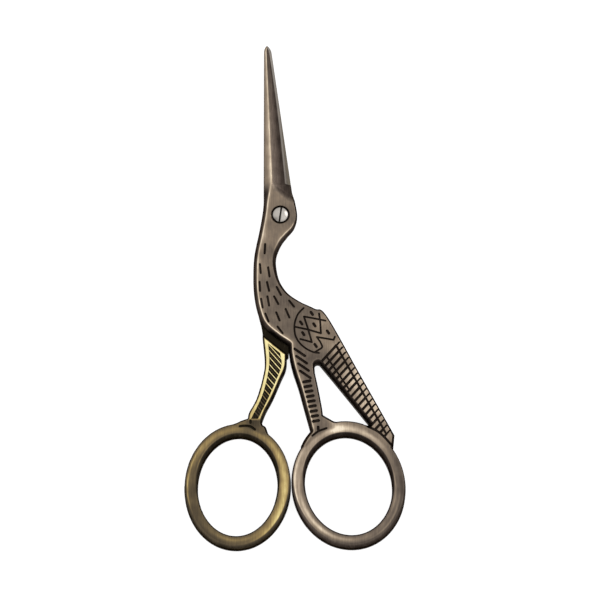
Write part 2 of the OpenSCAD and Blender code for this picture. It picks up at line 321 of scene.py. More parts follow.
def level_paths(field: Values, level: float, low: Points, step: float) -> list[Points]:
    """Closed lines along which a field on a grid has one value.

    Args:
        field: Values of the field, a row for each height.
        level: Value to follow.
        low: The grid's lowest corner.
        step: The grid's spacing.

    Returns:
        The lines, each without its first point repeated.
    """
    f = field - level
    f[f == 0] = 1e-9
    up = f > 0
    rows, columns = f.shape
    flat = up[:, 1:] != up[:, :-1]
    tall = up[1:] != up[:-1]
    flat_id = np.arange(rows * (columns - 1)).reshape(rows, columns - 1)
    tall_id = flat.size + np.arange((rows - 1) * columns).reshape(rows - 1, columns)
    sides = [(flat[:-1], flat_id[:-1]), (tall[:, 1:], tall_id[:, 1:]), (flat[1:], flat_id[1:]),
             (tall[:, :-1], tall_id[:, :-1])]
    crossed = np.stack([cut for cut, _ in sides])
    links: dict[int, list[int]] = {}
    for j, i in zip(*np.nonzero(crossed.sum(0) >= 2)):
        ids = [int(number[j, i]) for cut, number in sides if cut[j, i]]
        middle_up = f[j:j + 2, i:i + 2].sum() > 0
        if len(ids) == 4 and up[j, i] != middle_up:
            ids = [ids[0], ids[3], ids[1], ids[2]]
        for a, b in zip(ids[::2], ids[1::2]):
            links.setdefault(a, []).append(b)
            links.setdefault(b, []).append(a)

    def place(edge: int) -> tuple[float, float]:
        """Where the line crosses one edge of the grid.

        Args:
            edge: The edge's number.

        Returns:
            Column and row of the crossing.
        """
        if edge < flat.size:
            j, i = divmod(edge, columns - 1)
            return i + f[j, i] / (f[j, i] - f[j, i + 1]), j
        j, i = divmod(edge - flat.size, columns)
        return i, j + f[j, i] / (f[j, i] - f[j + 1, i])

    paths = []
    while links:
        edge = next(iter(links))
        trail = []
        while edge in links:
            trail.append(place(edge))
            edge = next((other for other in links.pop(edge) if other in links), -1)
        paths.append(low + step * np.array(trail, float))
    return paths


def thinned(path: Points, tolerance: float, longest: float) -> Points:
    """Closed path with as few points as keep its shape.

    Args:
        path: The path's points.
        tolerance: How far a dropped point may lie from the path.
        longest: Longest piece that is left.

    Returns:
        The points that are kept.
    """
    kept = [0]
    for end in range(2, len(path)):
        start = kept[-1]
        way = path[end] - path[start]
        length = float(np.hypot(*way))
        between = path[start + 1:end] - path[start]
        off = np.abs(between[:, 0] * way[1] - between[:, 1] * way[0]).max() / max(length, 1e-9)
        if off > tolerance or length > longest:
            kept.append(end - 1)
    return path[kept]


@dataclass(frozen=True)
class Stroke:
    """Groove that is cut along a path."""

    path: Points
    width: float
    deep: float = GROOVE_DEEP
    wall: float = GROOVE_WALL

    def cut(self, points: Points) -> Values:
        """Depth of the groove at points.

        Args:
            points: Points of the face.

        Returns:
            Depths from 0 to deep.
        """
        distance, _ = nearest(points, self.path, False, self.width)
        return self.deep * np.clip((self.width / 2 - distance) / self.wall, 0, 1)

    def edges(self) -> list[Points]:
        """Closed outlines of the groove's mouth and floor."""
        return [self.around(self.width / 2), self.around(self.width / 2 - self.wall)]

    def around(self, radius: float) -> Points:
        """Outline at one distance round the path, with round ends.

        Args:
            radius: The distance.

        Returns:
            The closed outline.
        """
        first = math.degrees(math.atan2(*(self.path[1] - self.path[0])[::-1]))
        last = math.degrees(math.atan2(*(self.path[-1] - self.path[-2])[::-1]))
        right = shifted(self.path, radius)[1:-1]
        left = shifted(self.path, -radius)[1:-1][::-1]
        return joined(arc(self.path[0], radius, first + 90, first + 270, 4), right.reshape(-1, 2),
                      arc(self.path[-1], radius, last - 90, last + 90, 4), left.reshape(-1, 2))


def strokes(corners: list, width: float) -> list[Stroke]:
    """Straight grooves from corner to corner.

    Args:
        corners: The corners' points.
        width: The grooves' width.

    Returns:
        One groove for each side.
    """
    sides = zip(corners, corners[1:])
    return [Stroke(joined(a, mix(np.array(a), np.array(b), 0.5), b), width) for a, b in sides]


# Shapes that the halves share


@dataclass(frozen=True)
class Ring:
    """Finger ring: a band of even width round a leaning oval."""

    # Finger hole and its lean in degrees
    hole_w: float
    hole_l: float
    lean: float
    # Where the band meets the other ring, on which side of that it lies, and how far below the pivot
    meet: float
    side: int
    low: float
    # Band, and the rounding of its edges that face up and down in the plane
    band_w: float = 2.95
    upper_round: float = 0.34
    lower_round: float = 0.98

    # Painted shade on the rounding, black towards the hole and softer outside, by its depth as a share of its
    # width
    HOLE_EDGE_SHADE = Ramp((0, 0.6, 0.84, 0.97), (0.0, 0.02, 0.14, 0.45))
    RIM_EDGE_SHADE = Ramp((0, 0.4, 0.75, 0.95), (0.02, 0.12, 0.28, 0.45))
    # Lines along the band, by their distance outwards from its middle
    LINES = (-0.7, -0.42, -0.14, 0.14, 0.42, 0.7)

    def half(self) -> Points:
        """Half width and half length of the oval along the middle of the band."""
        return xy(self.hole_w + self.band_w, self.hole_l + self.band_w) / 2

    def centre(self) -> Points:
        """Middle of the finger hole, set so that the two rings just clear each other.

        Returns:
            The point.
        """
        a = self.half()
        lean = math.radians(self.lean)
        across = math.hypot(a[0] * math.cos(lean), a[1] * math.sin(lean))
        return xy(self.meet + self.side * (self.band_w / 2 + across), -self.low)

    def at(self, angle: float, out: float = 0.0) -> Points:
        """Point on the band.

        Args:
            angle: Degrees round the oval.
            out: Distance outwards from the band's middle.

        Returns:
            The point.
        """
        a = self.half()
        c = math.cos(math.radians(angle))
        s = math.sin(math.radians(angle))
        return self.centre() + turned(xy(a[0] * c, a[1] * s) + out * unit(xy(a[1] * c, a[0] * s)), self.lean)

    def round(self) -> Points:
        """Middle line of the band."""
        steps = 260
        return np.array([self.at(360 * k / steps) for k in range(steps)])

    def lines(self) -> list[Points]:
        """Closed lines along the band, between which its painted light and shade change."""
        return [np.array([self.at(a, out) for a in np.arange(0, 360, 2.5)]) for out in self.LINES]

    def edge_shade(self, share: Values, offset: Values) -> Values:
        """Painted shade on the band's rounding: black towards the hole, softer outside.

        Args:
            share: Depths as a share of the rounding's width.
            offset: Distances outwards from the band's middle.

        Returns:
            The brightness.
        """
        return np.where(offset < 0, self.HOLE_EDGE_SHADE.at(share), self.RIM_EDGE_SHADE.at(share))

    def measure(self, points: Points) -> tuple[Values, Values]:
        """Depth inside the band and width of its rounding.

        Edges that face down are rounded more widely than those that face up.

        Args:
            points: Points to measure.

        Returns:
            The depths, negative outside, and the widths.
        """
        offset, angle = self.offset(points)
        outwards = np.clip(offset / 0.3, -1, 1)
        lean = math.radians(self.lean)
        a = self.half()
        x, y = a[1] * np.cos(angle), a[0] * np.sin(angle)
        facing = -(x * math.sin(lean) + y * math.cos(lean)) / np.hypot(x, y) * outwards
        rounding = mix(self.upper_round, self.lower_round, smooth(facing + 0.35))
        return self.band_w / 2 - np.abs(offset), rounding

    def offset(self, points: Points) -> tuple[Values, Values]:
        """Distance outwards from the band's middle, and the angle round the oval.

        Args:
            points: Points to measure.

        Returns:
            The distances, negative towards the hole, and the angles in radians.
        """
        lean = math.radians(-self.lean)
        a = self.half()
        off = points - self.centre()
        x = off[:, 0] * math.cos(lean) - off[:, 1] * math.sin(lean)
        y = off[:, 0] * math.sin(lean) + off[:, 1] * math.cos(lean)
        middle = self.round()
        distance, _ = nearest(points, middle, True, REACH + 1)
        return np.where(inside(points, middle), -distance, distance), np.arctan2(y / a[1], x / a[0])


@dataclass(frozen=True)
class Blade:
    """Tapering blade, ground hollow on the side away from its mate."""

    # Taper from heel to tip, and the height from which the blade has its own thickness
    length: float = 39.4
    spine_x: float = 3.72
    heel_y: float = 7.4
    heel_w: float = 6.0
    root_y: float = 3.0
    tip_w: float = 1.5
    tip_t: float = 0.75
    tip_blunt: float = 0.3
    # Cutting edge: its inset behind the plain taper, its belly and the step at the heel
    edge_inset: float = 0.8
    tip_inset: float = 0.08
    edge_belly: float = 0.25
    step_in: float = 0.4
    step_l: float = 0.25
    # Bevel between spine and ridge, at the heel, at the tip and in the head
    ridge_w: float = 1.8
    ridge_tip_w: float = 0.45
    head_ridge_w: float = 0.95
    # Grinding: depth of the hollow, its outer side as a share of the thickness, and how it runs out
    hollow: float = 0.22
    shoulder: float = 0.42
    grind_fade: float = 2.3
    # Bevel at the cutting edge, its width also as a share of the blade's, and the thickness that is left
    bevel_w: float = 0.5
    bevel_share: float = 0.25
    edge_t: float = 0.06

    # Height at which the grinding ends in the head, by the distance from the spine
    GRIND_END = Ramp((1.7, 2.5, 3.4, 5.4, 6.5), (5.6, 5.0, 4.3, 2.9, 2.4))
    # Places of the lines along the hollow, as shares of its width
    LINES = (0.08, 0.25, 0.5, 0.75, 0.92, 1)

    def along(self, y: Values) -> Values:
        """Share of the way from heel to tip."""
        return (y - self.heel_y) / (self.length - self.heel_y)

    def stepped(self, y: Values) -> Values:
        """0 behind the step at the heel, 1 in front of it."""
        return np.clip((y - self.heel_y + self.step_in) / self.step_l, 0, 1)

    def edges(self, y: Values) -> tuple[Values, Values]:
        """Widths of the blade from its straight spine.

        Args:
            y: Heights along the blade.

        Returns:
            The full width of the plain taper, and the width up to the cutting edge.
        """
        t = np.clip(self.along(y), 0, 1)
        full = mix(self.heel_w, self.tip_w, self.along(y))
        straight = self.stepped(y) * mix(self.edge_inset, self.tip_inset, t)
        inset = straight - self.edge_belly * np.sin(math.pi * t)
        return full, full - inset

    def edge_bevel(self, w: Values) -> Values:
        """Width of the bevel at the cutting edge, for widths of the blade."""
        return np.minimum(self.bevel_w, self.bevel_share * w)

    def heights(self, start: float, count: int) -> Values:
        """Heights for an outline's points, with both ends of the step at the heel.

        Args:
            start: Lowest height.
            count: Number of even heights up to the tip.

        Returns:
            The heights, rising.
        """
        step = self.heel_y - self.step_in
        return np.sort(np.append(np.linspace(start, self.length, count), [step, step + self.step_l]))

    def sides(self, y: Values) -> tuple[Values, Values]:
        """Places across the front blade at heights along it.

        Args:
            y: Heights along the blade.

        Returns:
            Distances of the spine and the cutting edge from the straight line of the spine.
        """
        full, edge = self.edges(y)
        u = np.clip((y - self.length + self.tip_w) / self.tip_w, 0, 1)
        share = np.maximum(self.tip_blunt, np.sqrt(1 - u * u))
        return mix(full / 2, 0 * full, share), mix(full / 2, edge, share)

    def thickness(self, y: Values) -> Values:
        """Thickness along the ridge."""
        return mix(LAYER_T, self.tip_t, np.clip(self.along(y), 0, 1))

    def ridge(self, y: Values) -> Values:
        """Width of the bevel between spine and ridge."""
        taper = mix(self.ridge_w, self.ridge_tip_w, np.clip(self.along(y), 0, 1))
        return mix(self.head_ridge_w, taper, smooth((y - 2) / 6))

    def place(self, x: Values, y: Values) -> tuple[Values, Values]:
        """Distance from the front blade's spine, and the blade's width there.

        Args:
            x: Places across.
            y: Heights along.

        Returns:
            The distances and the widths.
        """
        spine, edge = self.sides(y)
        return x + self.spine_x - spine, edge - spine

    def plunge(self, s: Values, y: Values) -> Values:
        """Share of the grinding that a point gets, from 0 in the head to 1 on the blade."""
        return smooth((y - self.GRIND_END.at(s)) / self.grind_fade)

    def ground(self, s: Values, w: Values, y: Values) -> Values:
        """How much is ground off the full thickness between ridge and cutting edge.

        Args:
            s: Distances from the spine.
            w: Widths of the blade.
            y: Heights along it.

        Returns:
            The depths that are ground off.
        """
        t = self.thickness(y)
        ridge = self.ridge(y)
        bevel = self.edge_bevel(w)
        u = np.clip((s - ridge) / np.maximum(w - bevel - ridge, 0.05), 0, 1)
        face = mix(t, self.shoulder * t, u) - self.hollow * t / LAYER_T * 4 * u * (1 - u)
        strip = np.clip((s - w + bevel) / bevel, 0, 1) * self.stepped(y)
        return t - mix(face, self.edge_t, strip)

    def lines(self) -> list[Points]:
        """Lines along the ground face, from the heel to near the tip.

        Returns:
            The lines.
        """
        y = np.linspace(self.heel_y, self.length - 1.2, 64)
        spine, edge = self.sides(y)
        first = self.ridge(y)
        last = edge - spine - self.edge_bevel(edge - spine)
        return [np.stack([spine + mix(first, last, u) - self.spine_x, y], 1) for u in self.LINES]


@dataclass(frozen=True)
class PaintedPatch:
    """Round patch of painted highlight, or of painted shade where the amount is negative."""

    x: float
    y: float
    radius: float
    amount: float

    def at(self, points: Points) -> Values:
        """Painted change of brightness at points."""
        away = np.hypot(points[:, 0] - self.x, points[:, 1] - self.y) / self.radius
        return self.amount * np.exp(-away * away)


@dataclass(frozen=True)
class PaintedRingPatch:
    """Part of a ring's band with a painted highlight, or painted shade where the amount is negative."""

    angle: float
    spread: float
    out: float
    width: float
    amount: float

    def at(self, offset: Values, angle: Values) -> Values:
        """Painted change of brightness.

        Args:
            offset: Distances outwards from the band's middle.
            angle: Angles round the ring in radians.

        Returns:
            One change for each point.
        """
        turn = (np.degrees(angle) - self.angle + 180) % 360 - 180
        return self.amount * np.exp(-(turn / self.spread) ** 2 - ((offset - self.out) / self.width) ** 2)


class Forging:
    """Flat pattern of a metal piece and the solid made from it."""

    # Depths of the lines along the edge, as shares of the bevel's width
    LEVELS = (0.0, 0.1, 0.24, 0.4, 0.58, 0.76, 0.88, 1.0, 1.12, 1.45, 2.0)
    # Spacing of the grid on which those lines are searched, and of the loose points further in
    SEARCH = 0.2
    SPREAD = 1.0
    LOOSE_FROM = 1.3
    HEEL_SPREAD = 0.28
    # How exactly the lines are kept, their longest piece, and the most points of a line that is dropped
    TOLERANCE = 0.004
    LONGEST = 0.42
    FEWEST = 5
    # Angle past which an edge stays sharp
    SHARP = 34

    def __init__(self, name: str) -> None:
        """Starts an empty pattern.

        Args:
            name: Name of the piece that is made from it.
        """
        self.name = name
        self.points: list = []
        self.edges: list = []
        self.border: list[Points] = []

    def line(self, path: Points, closed: bool = False) -> None:
        """Adds a line that faces are cut along.

        Args:
            path: The line's points.
            closed: Whether it closes.
        """
        base, n = len(self.points), len(path)
        self.points.extend(path.tolist())
        self.edges.extend((base + i, base + i + 1) for i in range(n - 1))
        if closed:
            self.edges.append((base + n - 1, base))

    def dots(self, points: Points) -> None:
        """Adds loose points."""
        self.points.extend(points.tolist())

    def circle(self, radius: float, steps: int = ROUND_STEPS) -> Points:
        """Circle round the pivot."""
        return arc(xy(0, 0), radius, 0, 360 - 360 / steps, steps - 1)

    def outline(self, relative: Callable[[Points], Values], low: Points, high: Points) -> None:
        """Adds the lines of equal depth that the edges are rounded along, and loose points between.

        Args:
            relative: Gives the depth of points as a share of the bevel's width.
            low: Lowest corner of the grid that is searched.
            high: Its highest corner.
        """
        x = np.arange(low[0], high[0] + self.SEARCH, self.SEARCH)
        y = np.arange(low[1], high[1] + self.SEARCH, self.SEARCH)
        grid = np.stack(np.meshgrid(x, y), -1).reshape(-1, 2)
        field = relative(grid).reshape(len(y), len(x))
        for level in self.LEVELS:
            slim_paths = (thinned(path, self.TOLERANCE, self.LONGEST)
                          for path in level_paths(field, level, low, self.SEARCH))
            for slim in slim_paths:
                if len(slim) <= self.FEWEST:
                    continue
                self.line(slim, True)
                if level == 0:
                    self.border.append(slim)
        columns = np.arange(low[0], high[0], self.SPREAD)
        rows = np.arange(low[1], high[1], self.SPREAD)
        loose = np.stack(np.meshgrid(columns, rows), -1)
        loose[::2, :, 0] += self.SPREAD / 2
        loose = loose.reshape(-1, 2)
        self.dots(loose[relative(loose) > self.LOOSE_FROM])

    def heel_dots(self, relative: Callable[[Points], Values]) -> None:
        """Adds close points where head and blade meet and the grinding ends.

        Args:
            relative: Gives the depth of points as a share of the bevel's width.
        """
        columns = np.arange(-3.6, 3.4, self.HEEL_SPREAD)
        rows = np.arange(2.0, 9.6, self.HEEL_SPREAD)
        grid = np.stack(np.meshgrid(columns, rows), -1).reshape(-1, 2)
        self.dots(grid[relative(grid) > 0.05])

    def grooves(self, cuts: list[Stroke]) -> None:
        """Adds the outlines of the grooves."""
        for groove in cuts:
            for edge in groove.edges():
                self.line(edge, True)

    def faces(self, bore: float) -> tuple[Points, Values]:
        """Triangles of the flat pattern.

        Args:
            bore: Radius of the hole at the pivot.

        Returns:
            The pattern's points and its triangles' corners.
        """
        made = delaunay_2d_cdt([Vector(p) for p in self.points], self.edges, [], 0, 1e-5, False)
        flat = np.array([p[:] for p in made[0]], float)
        triangles = np.array([f for f in made[2] if len(f) == 3], int)
        corners = flat[triangles]
        a, b = corners[:, 1] - corners[:, 0], corners[:, 2] - corners[:, 0]
        turn = a[:, 0] * b[:, 1] - a[:, 1] * b[:, 0]
        triangles[turn < 0] = triangles[turn < 0][:, ::-1]
        middles = corners.mean(1)
        keep = np.zeros(len(middles), bool)
        for path in self.border:
            keep ^= inside(middles, path)
        keep &= np.hypot(middles[:, 0], middles[:, 1]) > bore * math.cos(math.pi / ROUND_STEPS)
        keep &= np.abs(turn) > 1e-9
        triangles = triangles[keep]
        used = np.unique(triangles)
        number = np.full(len(flat), -1)
        number[used] = np.arange(len(used))
        return flat[used], number[triangles]

    def solid(self, flat: Points, triangles: Values, top: Values, bottom: Values,
              marks: dict[str, tuple[Values, Values]]) -> bpy.types.Object:
        """Closed solid between two faces over the pattern.

        Args:
            flat: The pattern's points.
            triangles: Its triangles.
            top: Heights of the upper face.
            bottom: Heights of the lower face.
            marks: Values kept on the points of the upper and of the lower face, by name.

        Returns:
            The piece's object.
        """
        n = len(flat)
        verts = np.vstack([np.column_stack([flat, top]), np.column_stack([flat, bottom])]) * MM
        sides = np.vstack([triangles[:, [0, 1]], triangles[:, [1, 2]], triangles[:, [2, 0]]])
        known = set(map(tuple, sides.tolist()))
        rim = [(a, b) for a, b in known if (b, a) not in known]
        walls = [(a + n, b + n, b, a) for a, b in sorted(rim)]
        mesh = bpy.data.meshes.new(self.name)
        mesh.from_pydata(verts.tolist(), [], triangles.tolist() + (triangles[:, ::-1] + n).tolist() + walls)
        for mark, (upper, lower) in marks.items():
            layer = mesh.attributes.new(mark, "FLOAT", "POINT")
            layer.data.foreach_set("value", np.concatenate([upper, lower]).astype(np.float32))
        mesh.shade_smooth()
        mesh.set_sharp_from_angle(angle=math.radians(self.SHARP))
        mesh.validate()
        obj = bpy.data.objects.new(self.name, mesh)
        bpy.context.scene.collection.objects.link(obj)
        return obj


# Finishes


@dataclass(frozen=True)
class PatinaAndPaintedLight:
    """Antique plating: dark patina in the grooves, and painted highlights and shade from the tone."""

    name: str
    # Colours by brightness, the bare steel's colour and the tint at a flat glance
    shades: tuple
    roughness: float = 0.36
    steel: tuple = (0.33, 0.32, 0.30)
    glance: tuple = (0.30, 0.27, 0.24)
    # How much clouds and brush marks change the brightness, and how fine they are
    cloud: float = 0.13
    streak: float = 0.13
    cloud_scale: float = 420.0
    brush_scale: tuple = (4200.0, 330.0, 4200.0)
    brush_bump: float = 0.25
    brush_deep: float = 0.00002

    def material(self) -> bpy.types.Material:
        """Builds the node material.

        Returns:
            The material.
        """
        mat = bpy.data.materials.new(self.name)
        mat.use_nodes = True
        tree = mat.node_tree
        tree.nodes.clear()
        make, link = tree.nodes.new, tree.links.new
        out = make("ShaderNodeOutputMaterial")
        shader = make("ShaderNodeBsdfPrincipled")
        shader.inputs["Metallic"].default_value = 1.0
        shader.inputs["Specular Tint"].default_value = (*self.glance, 1.0)
        link(shader.outputs[0], out.inputs["Surface"])
        place = make("ShaderNodeTexCoord").outputs["Object"]
        tone = make("ShaderNodeAttribute")
        tone.attribute_name = "tone"
        ground = make("ShaderNodeAttribute")
        ground.attribute_name = "ground"

        cloudy = make("ShaderNodeTexNoise")
        cloudy.inputs["Scale"].default_value = self.cloud_scale
        cloudy.inputs["Detail"].default_value = 5.0
        link(place, cloudy.inputs["Vector"])
        stretch = make("ShaderNodeMapping")
        stretch.inputs["Scale"].default_value = self.brush_scale
        link(place, stretch.inputs["Vector"])
        brushed = make("ShaderNodeTexNoise")
        brushed.inputs["Scale"].default_value = 1.0
        brushed.inputs["Detail"].default_value = 3.0
        link(stretch.outputs[0], brushed.inputs["Vector"])

        def math_node(kind: str, a: object, b: object) -> bpy.types.NodeSocket:
            """Adds one sum or product.

            Args:
                kind: The operation.
                a: First value or socket.
                b: Second value or socket.

            Returns:
                The result's socket.
            """
            node = make("ShaderNodeMath")
            node.operation = kind
            for socket, value in zip(node.inputs, (a, b)):
                if isinstance(value, float):
                    socket.default_value = value
                else:
                    link(value, socket)
            return node.outputs[0]

        clouds = math_node("MULTIPLY", math_node("SUBTRACT", cloudy.outputs[0], 0.5), self.cloud * 2)
        streaks = math_node("MULTIPLY", math_node("SUBTRACT", brushed.outputs[0], 0.5), self.streak * 2)
        shade = math_node("ADD", tone.outputs["Fac"], math_node("ADD", clouds, streaks))
        ramp = make("ShaderNodeValToRGB")
        ramp.color_ramp.interpolation = "LINEAR"
        steps = ramp.color_ramp.elements
        while len(steps) > 1:
            steps.remove(steps[-1])
        for i, (at, colour) in enumerate(self.shades):
            step = steps[0] if i == 0 else steps.new(at)
            step.position = at
            step.color = (*colour, 1.0)
        link(shade, ramp.inputs["Fac"])
        grey = make("ShaderNodeMix")
        grey.data_type = "RGBA"
        grey.inputs[7].default_value = (*self.steel, 1.0)
        link(ground.outputs["Fac"], grey.inputs[0])
        link(ramp.outputs["Color"], grey.inputs[6])
        link(grey.outputs[2], shader.inputs["Base Color"])

        rough = math_node("ADD", math_node("MULTIPLY", clouds, 0.8), self.roughness)
        link(rough, shader.inputs["Roughness"])
        bump = make("ShaderNodeBump")
        bump.inputs["Strength"].default_value = self.brush_bump
        bump.inputs["Distance"].default_value = self.brush_deep
        link(brushed.outputs[0], bump.inputs["Height"])
        link(bump.outputs[0], shader.inputs["Normal"])
        return mat


@dataclass(frozen=True)
class PolishedSteel:
    """Bright steel with fine scratches."""

    name: str = "screw_steel"
    colour: tuple = (0.62, 0.58, 0.53)
    roughness: float = 0.22

    def material(self) -> bpy.types.Material:
        """Builds the node material.

        Returns:
            The material.
        """
        middle = tuple(0.45 * c for c in self.colour)
        shades = ((0.0, (0.02, 0.017, 0.014)), (0.45, middle), (1.0, self.colour))
        return PatinaAndPaintedLight(self.name, shades, self.roughness, cloud=0.22, streak=0.16).material()


BRONZE = PatinaAndPaintedLight("antique_bronze", (
    (0.0, (0.014, 0.010, 0.008)), (0.2, (0.055, 0.042, 0.034)), (0.35, (0.098, 0.077, 0.062)),
    (0.5, (0.165, 0.130, 0.100)), (0.65, (0.26, 0.20, 0.145)), (0.8, (0.44, 0.35, 0.26)),
    (0.9, (0.64, 0.52, 0.38)), (1.0, (0.90, 0.78, 0.61))))
BRASS = PatinaAndPaintedLight("antique_brass", (
    (0.0, (0.014, 0.011, 0.007)), (0.2, (0.055, 0.043, 0.028)), (0.35, (0.098, 0.074, 0.045)),
    (0.5, (0.165, 0.122, 0.064)), (0.65, (0.29, 0.205, 0.088)), (0.8, (0.52, 0.39, 0.16)),
    (0.9, (0.76, 0.62, 0.27)), (1.0, (0.93, 0.82, 0.42))))


def dress(obj: bpy.types.Object, body: Body, slot: Slot, material: bpy.types.Material, *nodes: str) -> None:
    """Gives a piece its material, body and the nodes that it stands for.

    Args:
        obj: The piece.
        body: Body that it moves with.
        slot: Material slot of the record; not used.
        material: Its material.
        *nodes: Names of the nodes that it replaces.
    """
    obj.data.materials.clear()
    obj.data.materials.append(material)
    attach(obj, body.value)
    if nodes:
        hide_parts(*nodes)
    LOG.info("%s: %d faces on body %s", obj.name, len(obj.data.polygons), body.value)


# Edges that both halves have

# How much of a bevel's painted shade shows, by the depth as a share of its width
SLOPE_SHOWS = Ramp((0, 0.86, 1.0), (1, 1, 0))


def blackened(tone: Values, carved: Values) -> Values:
    """Finish with black grooves, for the depths that are carved."""
    return mix(tone, 0.0, np.clip(carved / (0.4 * GROOVE_DEEP), 0, 1))


def edge_drop(share: Values, rise: Values, roundness: Values) -> Values:
    """How far an edge falls below its face.

    Args:
        share: Depth inside the outline as a share of the bevel's width.
        rise: Height of the bevel.
        roundness: 0 for a bevel with a crest, 1 for a round edge.

    Returns:
        The drops.
    """
    u = np.clip(share, 0, 1)
    bevel = (1 - u) ** 1.3
    curved = 1 - np.sqrt(np.maximum(1 - (1 - u) ** 2, 0))
    return rise * mix(bevel, curved, roundness)


def bevel_widths(outline: Points, wide: float, narrow: float) -> Values:
    """Widths of the bevel along an outline: wide towards the left and below, narrow elsewhere.

    Args:
        outline: The closed outline's points.
        wide: Widest bevel.
        narrow: Narrowest bevel.

    Returns:
        One width for each point.
    """
    out = outward(outline)
    lean = -0.55 * out[:, 0] - 0.85 * out[:, 1]
    widths = mix(narrow, wide, smooth((lean + 0.05) / 0.3))
    return np.convolve(np.concatenate([widths[-3:], widths, widths[:3]]), np.ones(7) / 7, "valid")


@dataclass
class FrontHalf:
    """Upper half: the bird's body with tail, front leg, right ring and upper blade."""

    blade: Blade
    ring: Ring
    # Bird: head, neck, tail and leg
    head_w: float = 7.75
    neck_w: float = 4.95
    neck_y: float = 10.6
    shoulder: tuple = (10.3, -23.2)
    tail_root_w: float = 8.0
    tail_tip_w: float = 2.8
    tail_over: float = 3.7
    crotch_r: float = 0.7
    thigh_w: float = 4.9
    shin_w: float = 3.9
    foot_over: float = 0.45
    # Bore and recess of the screw
    bore_r: float = 1.24
    recess_r: float = 2.05
    recess_z: float = 2.65
    recess_edge: float = 0.13
    # Bevels, and how plate, foot and ring run into each other
    wide: float = 0.95
    narrow: float = 0.38
    tallest: float = 0.9
    foot_fillet: float = 0.3
    ring_fillet: float = 0.4
    ring_blend: float = 1.0
    # Grooves of plumage, wing and leg
    plume_w: float = 0.5
    wing_w: float = 0.42
    lozenge_w: float = 0.44
    pip_w: float = 0.62
    slash_w: float = 0.6
    shin_rung_w: float = 0.7
    # Grooves of the tail: the quill's distance from the outer edge, and the rungs across
    quill: float = 1.5
    quill_w: float = 0.5
    rungs: int = 18
    rung_from: float = 6.55
    rung_pitch: float = 1.335
    rung_slant: float = 0.355
    rung_w: float = 0.6
    rung_end_w: float = 0.42
    rung_least: float = 0.3
    rung_longest: float = 5.0
    # Share of the tail's length beside the gap, and the rungs' distance from the middle of the ring's band
    gap_share: float = 0.74
    ring_clear: float = 1.95

    def __post_init__(self) -> None:
        """Works out the places that several shapes share."""
        self.neck_mid = xy(-self.neck_w / 2 - 0.87, -self.neck_y)
        self.breast = xy(-5.75, -18.4)
        self.body_edge = [xy(-5.0, -22.2), xy(-3.75, -25.1), xy(-1.1, -27.6), xy(1.8, -29.6)]
        self.tail_tip = self.ring.at(33, self.tail_over)
        self.tail_way = unit(self.tail_tip - np.array(self.shoulder))
        self.tail_across = xy(self.tail_way[1], -self.tail_way[0])
        self.outline, self.widths, self.rises, self.crests = self.trace()
        self.foot = joined([self.ring.at(a, self.ring.band_w / 2 + self.foot_over) for a in range(50, 93, 3)],
                           [self.ring.at(a, -0.3) for a in range(92, 49, -3)])

    def tail_inner(self, t: float) -> Points:
        """Point on the tail's inner edge, at a share of its length."""
        shoulder = np.array(self.shoulder)
        return mix(shoulder, self.tail_tip, t) + self.tail_across * mix(self.tail_root_w, self.tail_tip_w, t)

    def trace(self) -> tuple[Points, Values, Values, Values]:
        """Outline from the blade's tip down the left side and back up.

        Returns:
            The outline, and the bevel's width and height and its painted crest highlight at each point.
        """
        ring = self.ring
        neck = self.neck_mid
        blade = self.blade

        # Bird, counterclockwise from the blade's root
        calf_w = mix(self.thigh_w, self.shin_w, 0.6)
        leg = [xy(5.18, -34.4), xy(6.17, -39.4), xy(7.15, -43.6)]
        crotch = xy(8.2, -33.75 - self.crotch_r)
        toe = leg[2] + [self.shin_w / 2 + 0.25, -1.85]
        left = curve([(-3.72, 4.9), (-3.74, 2.4), (-self.head_w / 2 - 0.17, -0.3), (-4.7, -4),
                      neck - [self.neck_w / 2 - 0.07, -1.2], (-5.96, -14.4), self.breast, *self.body_edge])
        leg_left = curve([self.body_edge[3], (1.98, -32), leg[0] - [self.thigh_w / 2, 1],
                          leg[1] - [calf_w / 2, 0], leg[2] - [self.shin_w / 2, 0.2], ring.at(113, 2.45)])
        foot = [ring.at(*p) for p in ((113, 2.45), (119, 2.2), (124, 2), (130, 1.7), (131, -TUCK),
                                      (117, -TUCK), (100, -TUCK), (85, -TUCK), (87, 1.7))]
        leg_right = curve([toe, leg[2] + [self.shin_w / 2, 0], leg[1] + [calf_w / 2, 0], (7.5, -35.6)])
        tail = joined(curve([self.tail_inner(t) for t in (0.42, 0.62, 0.84)]), self.tail_inner(0.84),
                      [ring.at(a, -TUCK) for a in (60, 42, 25)], ring.at(25, 1.7))
        back = curve([self.tail_tip, mix(np.array(self.shoulder), self.tail_tip, 0.5), self.shoulder,
                      (7.6, -21.45), (4.2, -19.8), (1.6, -17.9), (-0.12, -15.3), (-0.88, -12.2),
                      neck + [self.neck_w / 2, 1], (0.15, -6.9), (1.5, -5), (3.05, -3),
                      (self.head_w / 2 - 0.15, -0.3), (3.2, 3.2)])
        bend = arc(crotch, self.crotch_r, 175, 40, 8)
        body = joined(left, leg_left, foot, leg_right, bend, tail, back, (3.2, 3.2))

        # Painted highlight along the crest of each stretch: strong on the left side, weak or none on the
        # right
        shines = ((left, 1.0), (leg_left, 0.92), (foot, 0.5), (leg_right, 0.0), (bend, 0.2), (tail, 0.08),
                  (back, 0.0), ([0], 0.0))
        crest = np.concatenate([np.full(len(part), shine) for part, shine in shines])

        # Blade, up its cutting edge and down its spine
        rise = blade.heights(5.2, 146)
        spine, edge = blade.sides(rise)
        right = np.stack([edge - blade.spine_x, rise], 1)
        down = np.stack([spine - blade.spine_x, rise], 1)[::-1][:-8]
        whole = joined(body, right, down)

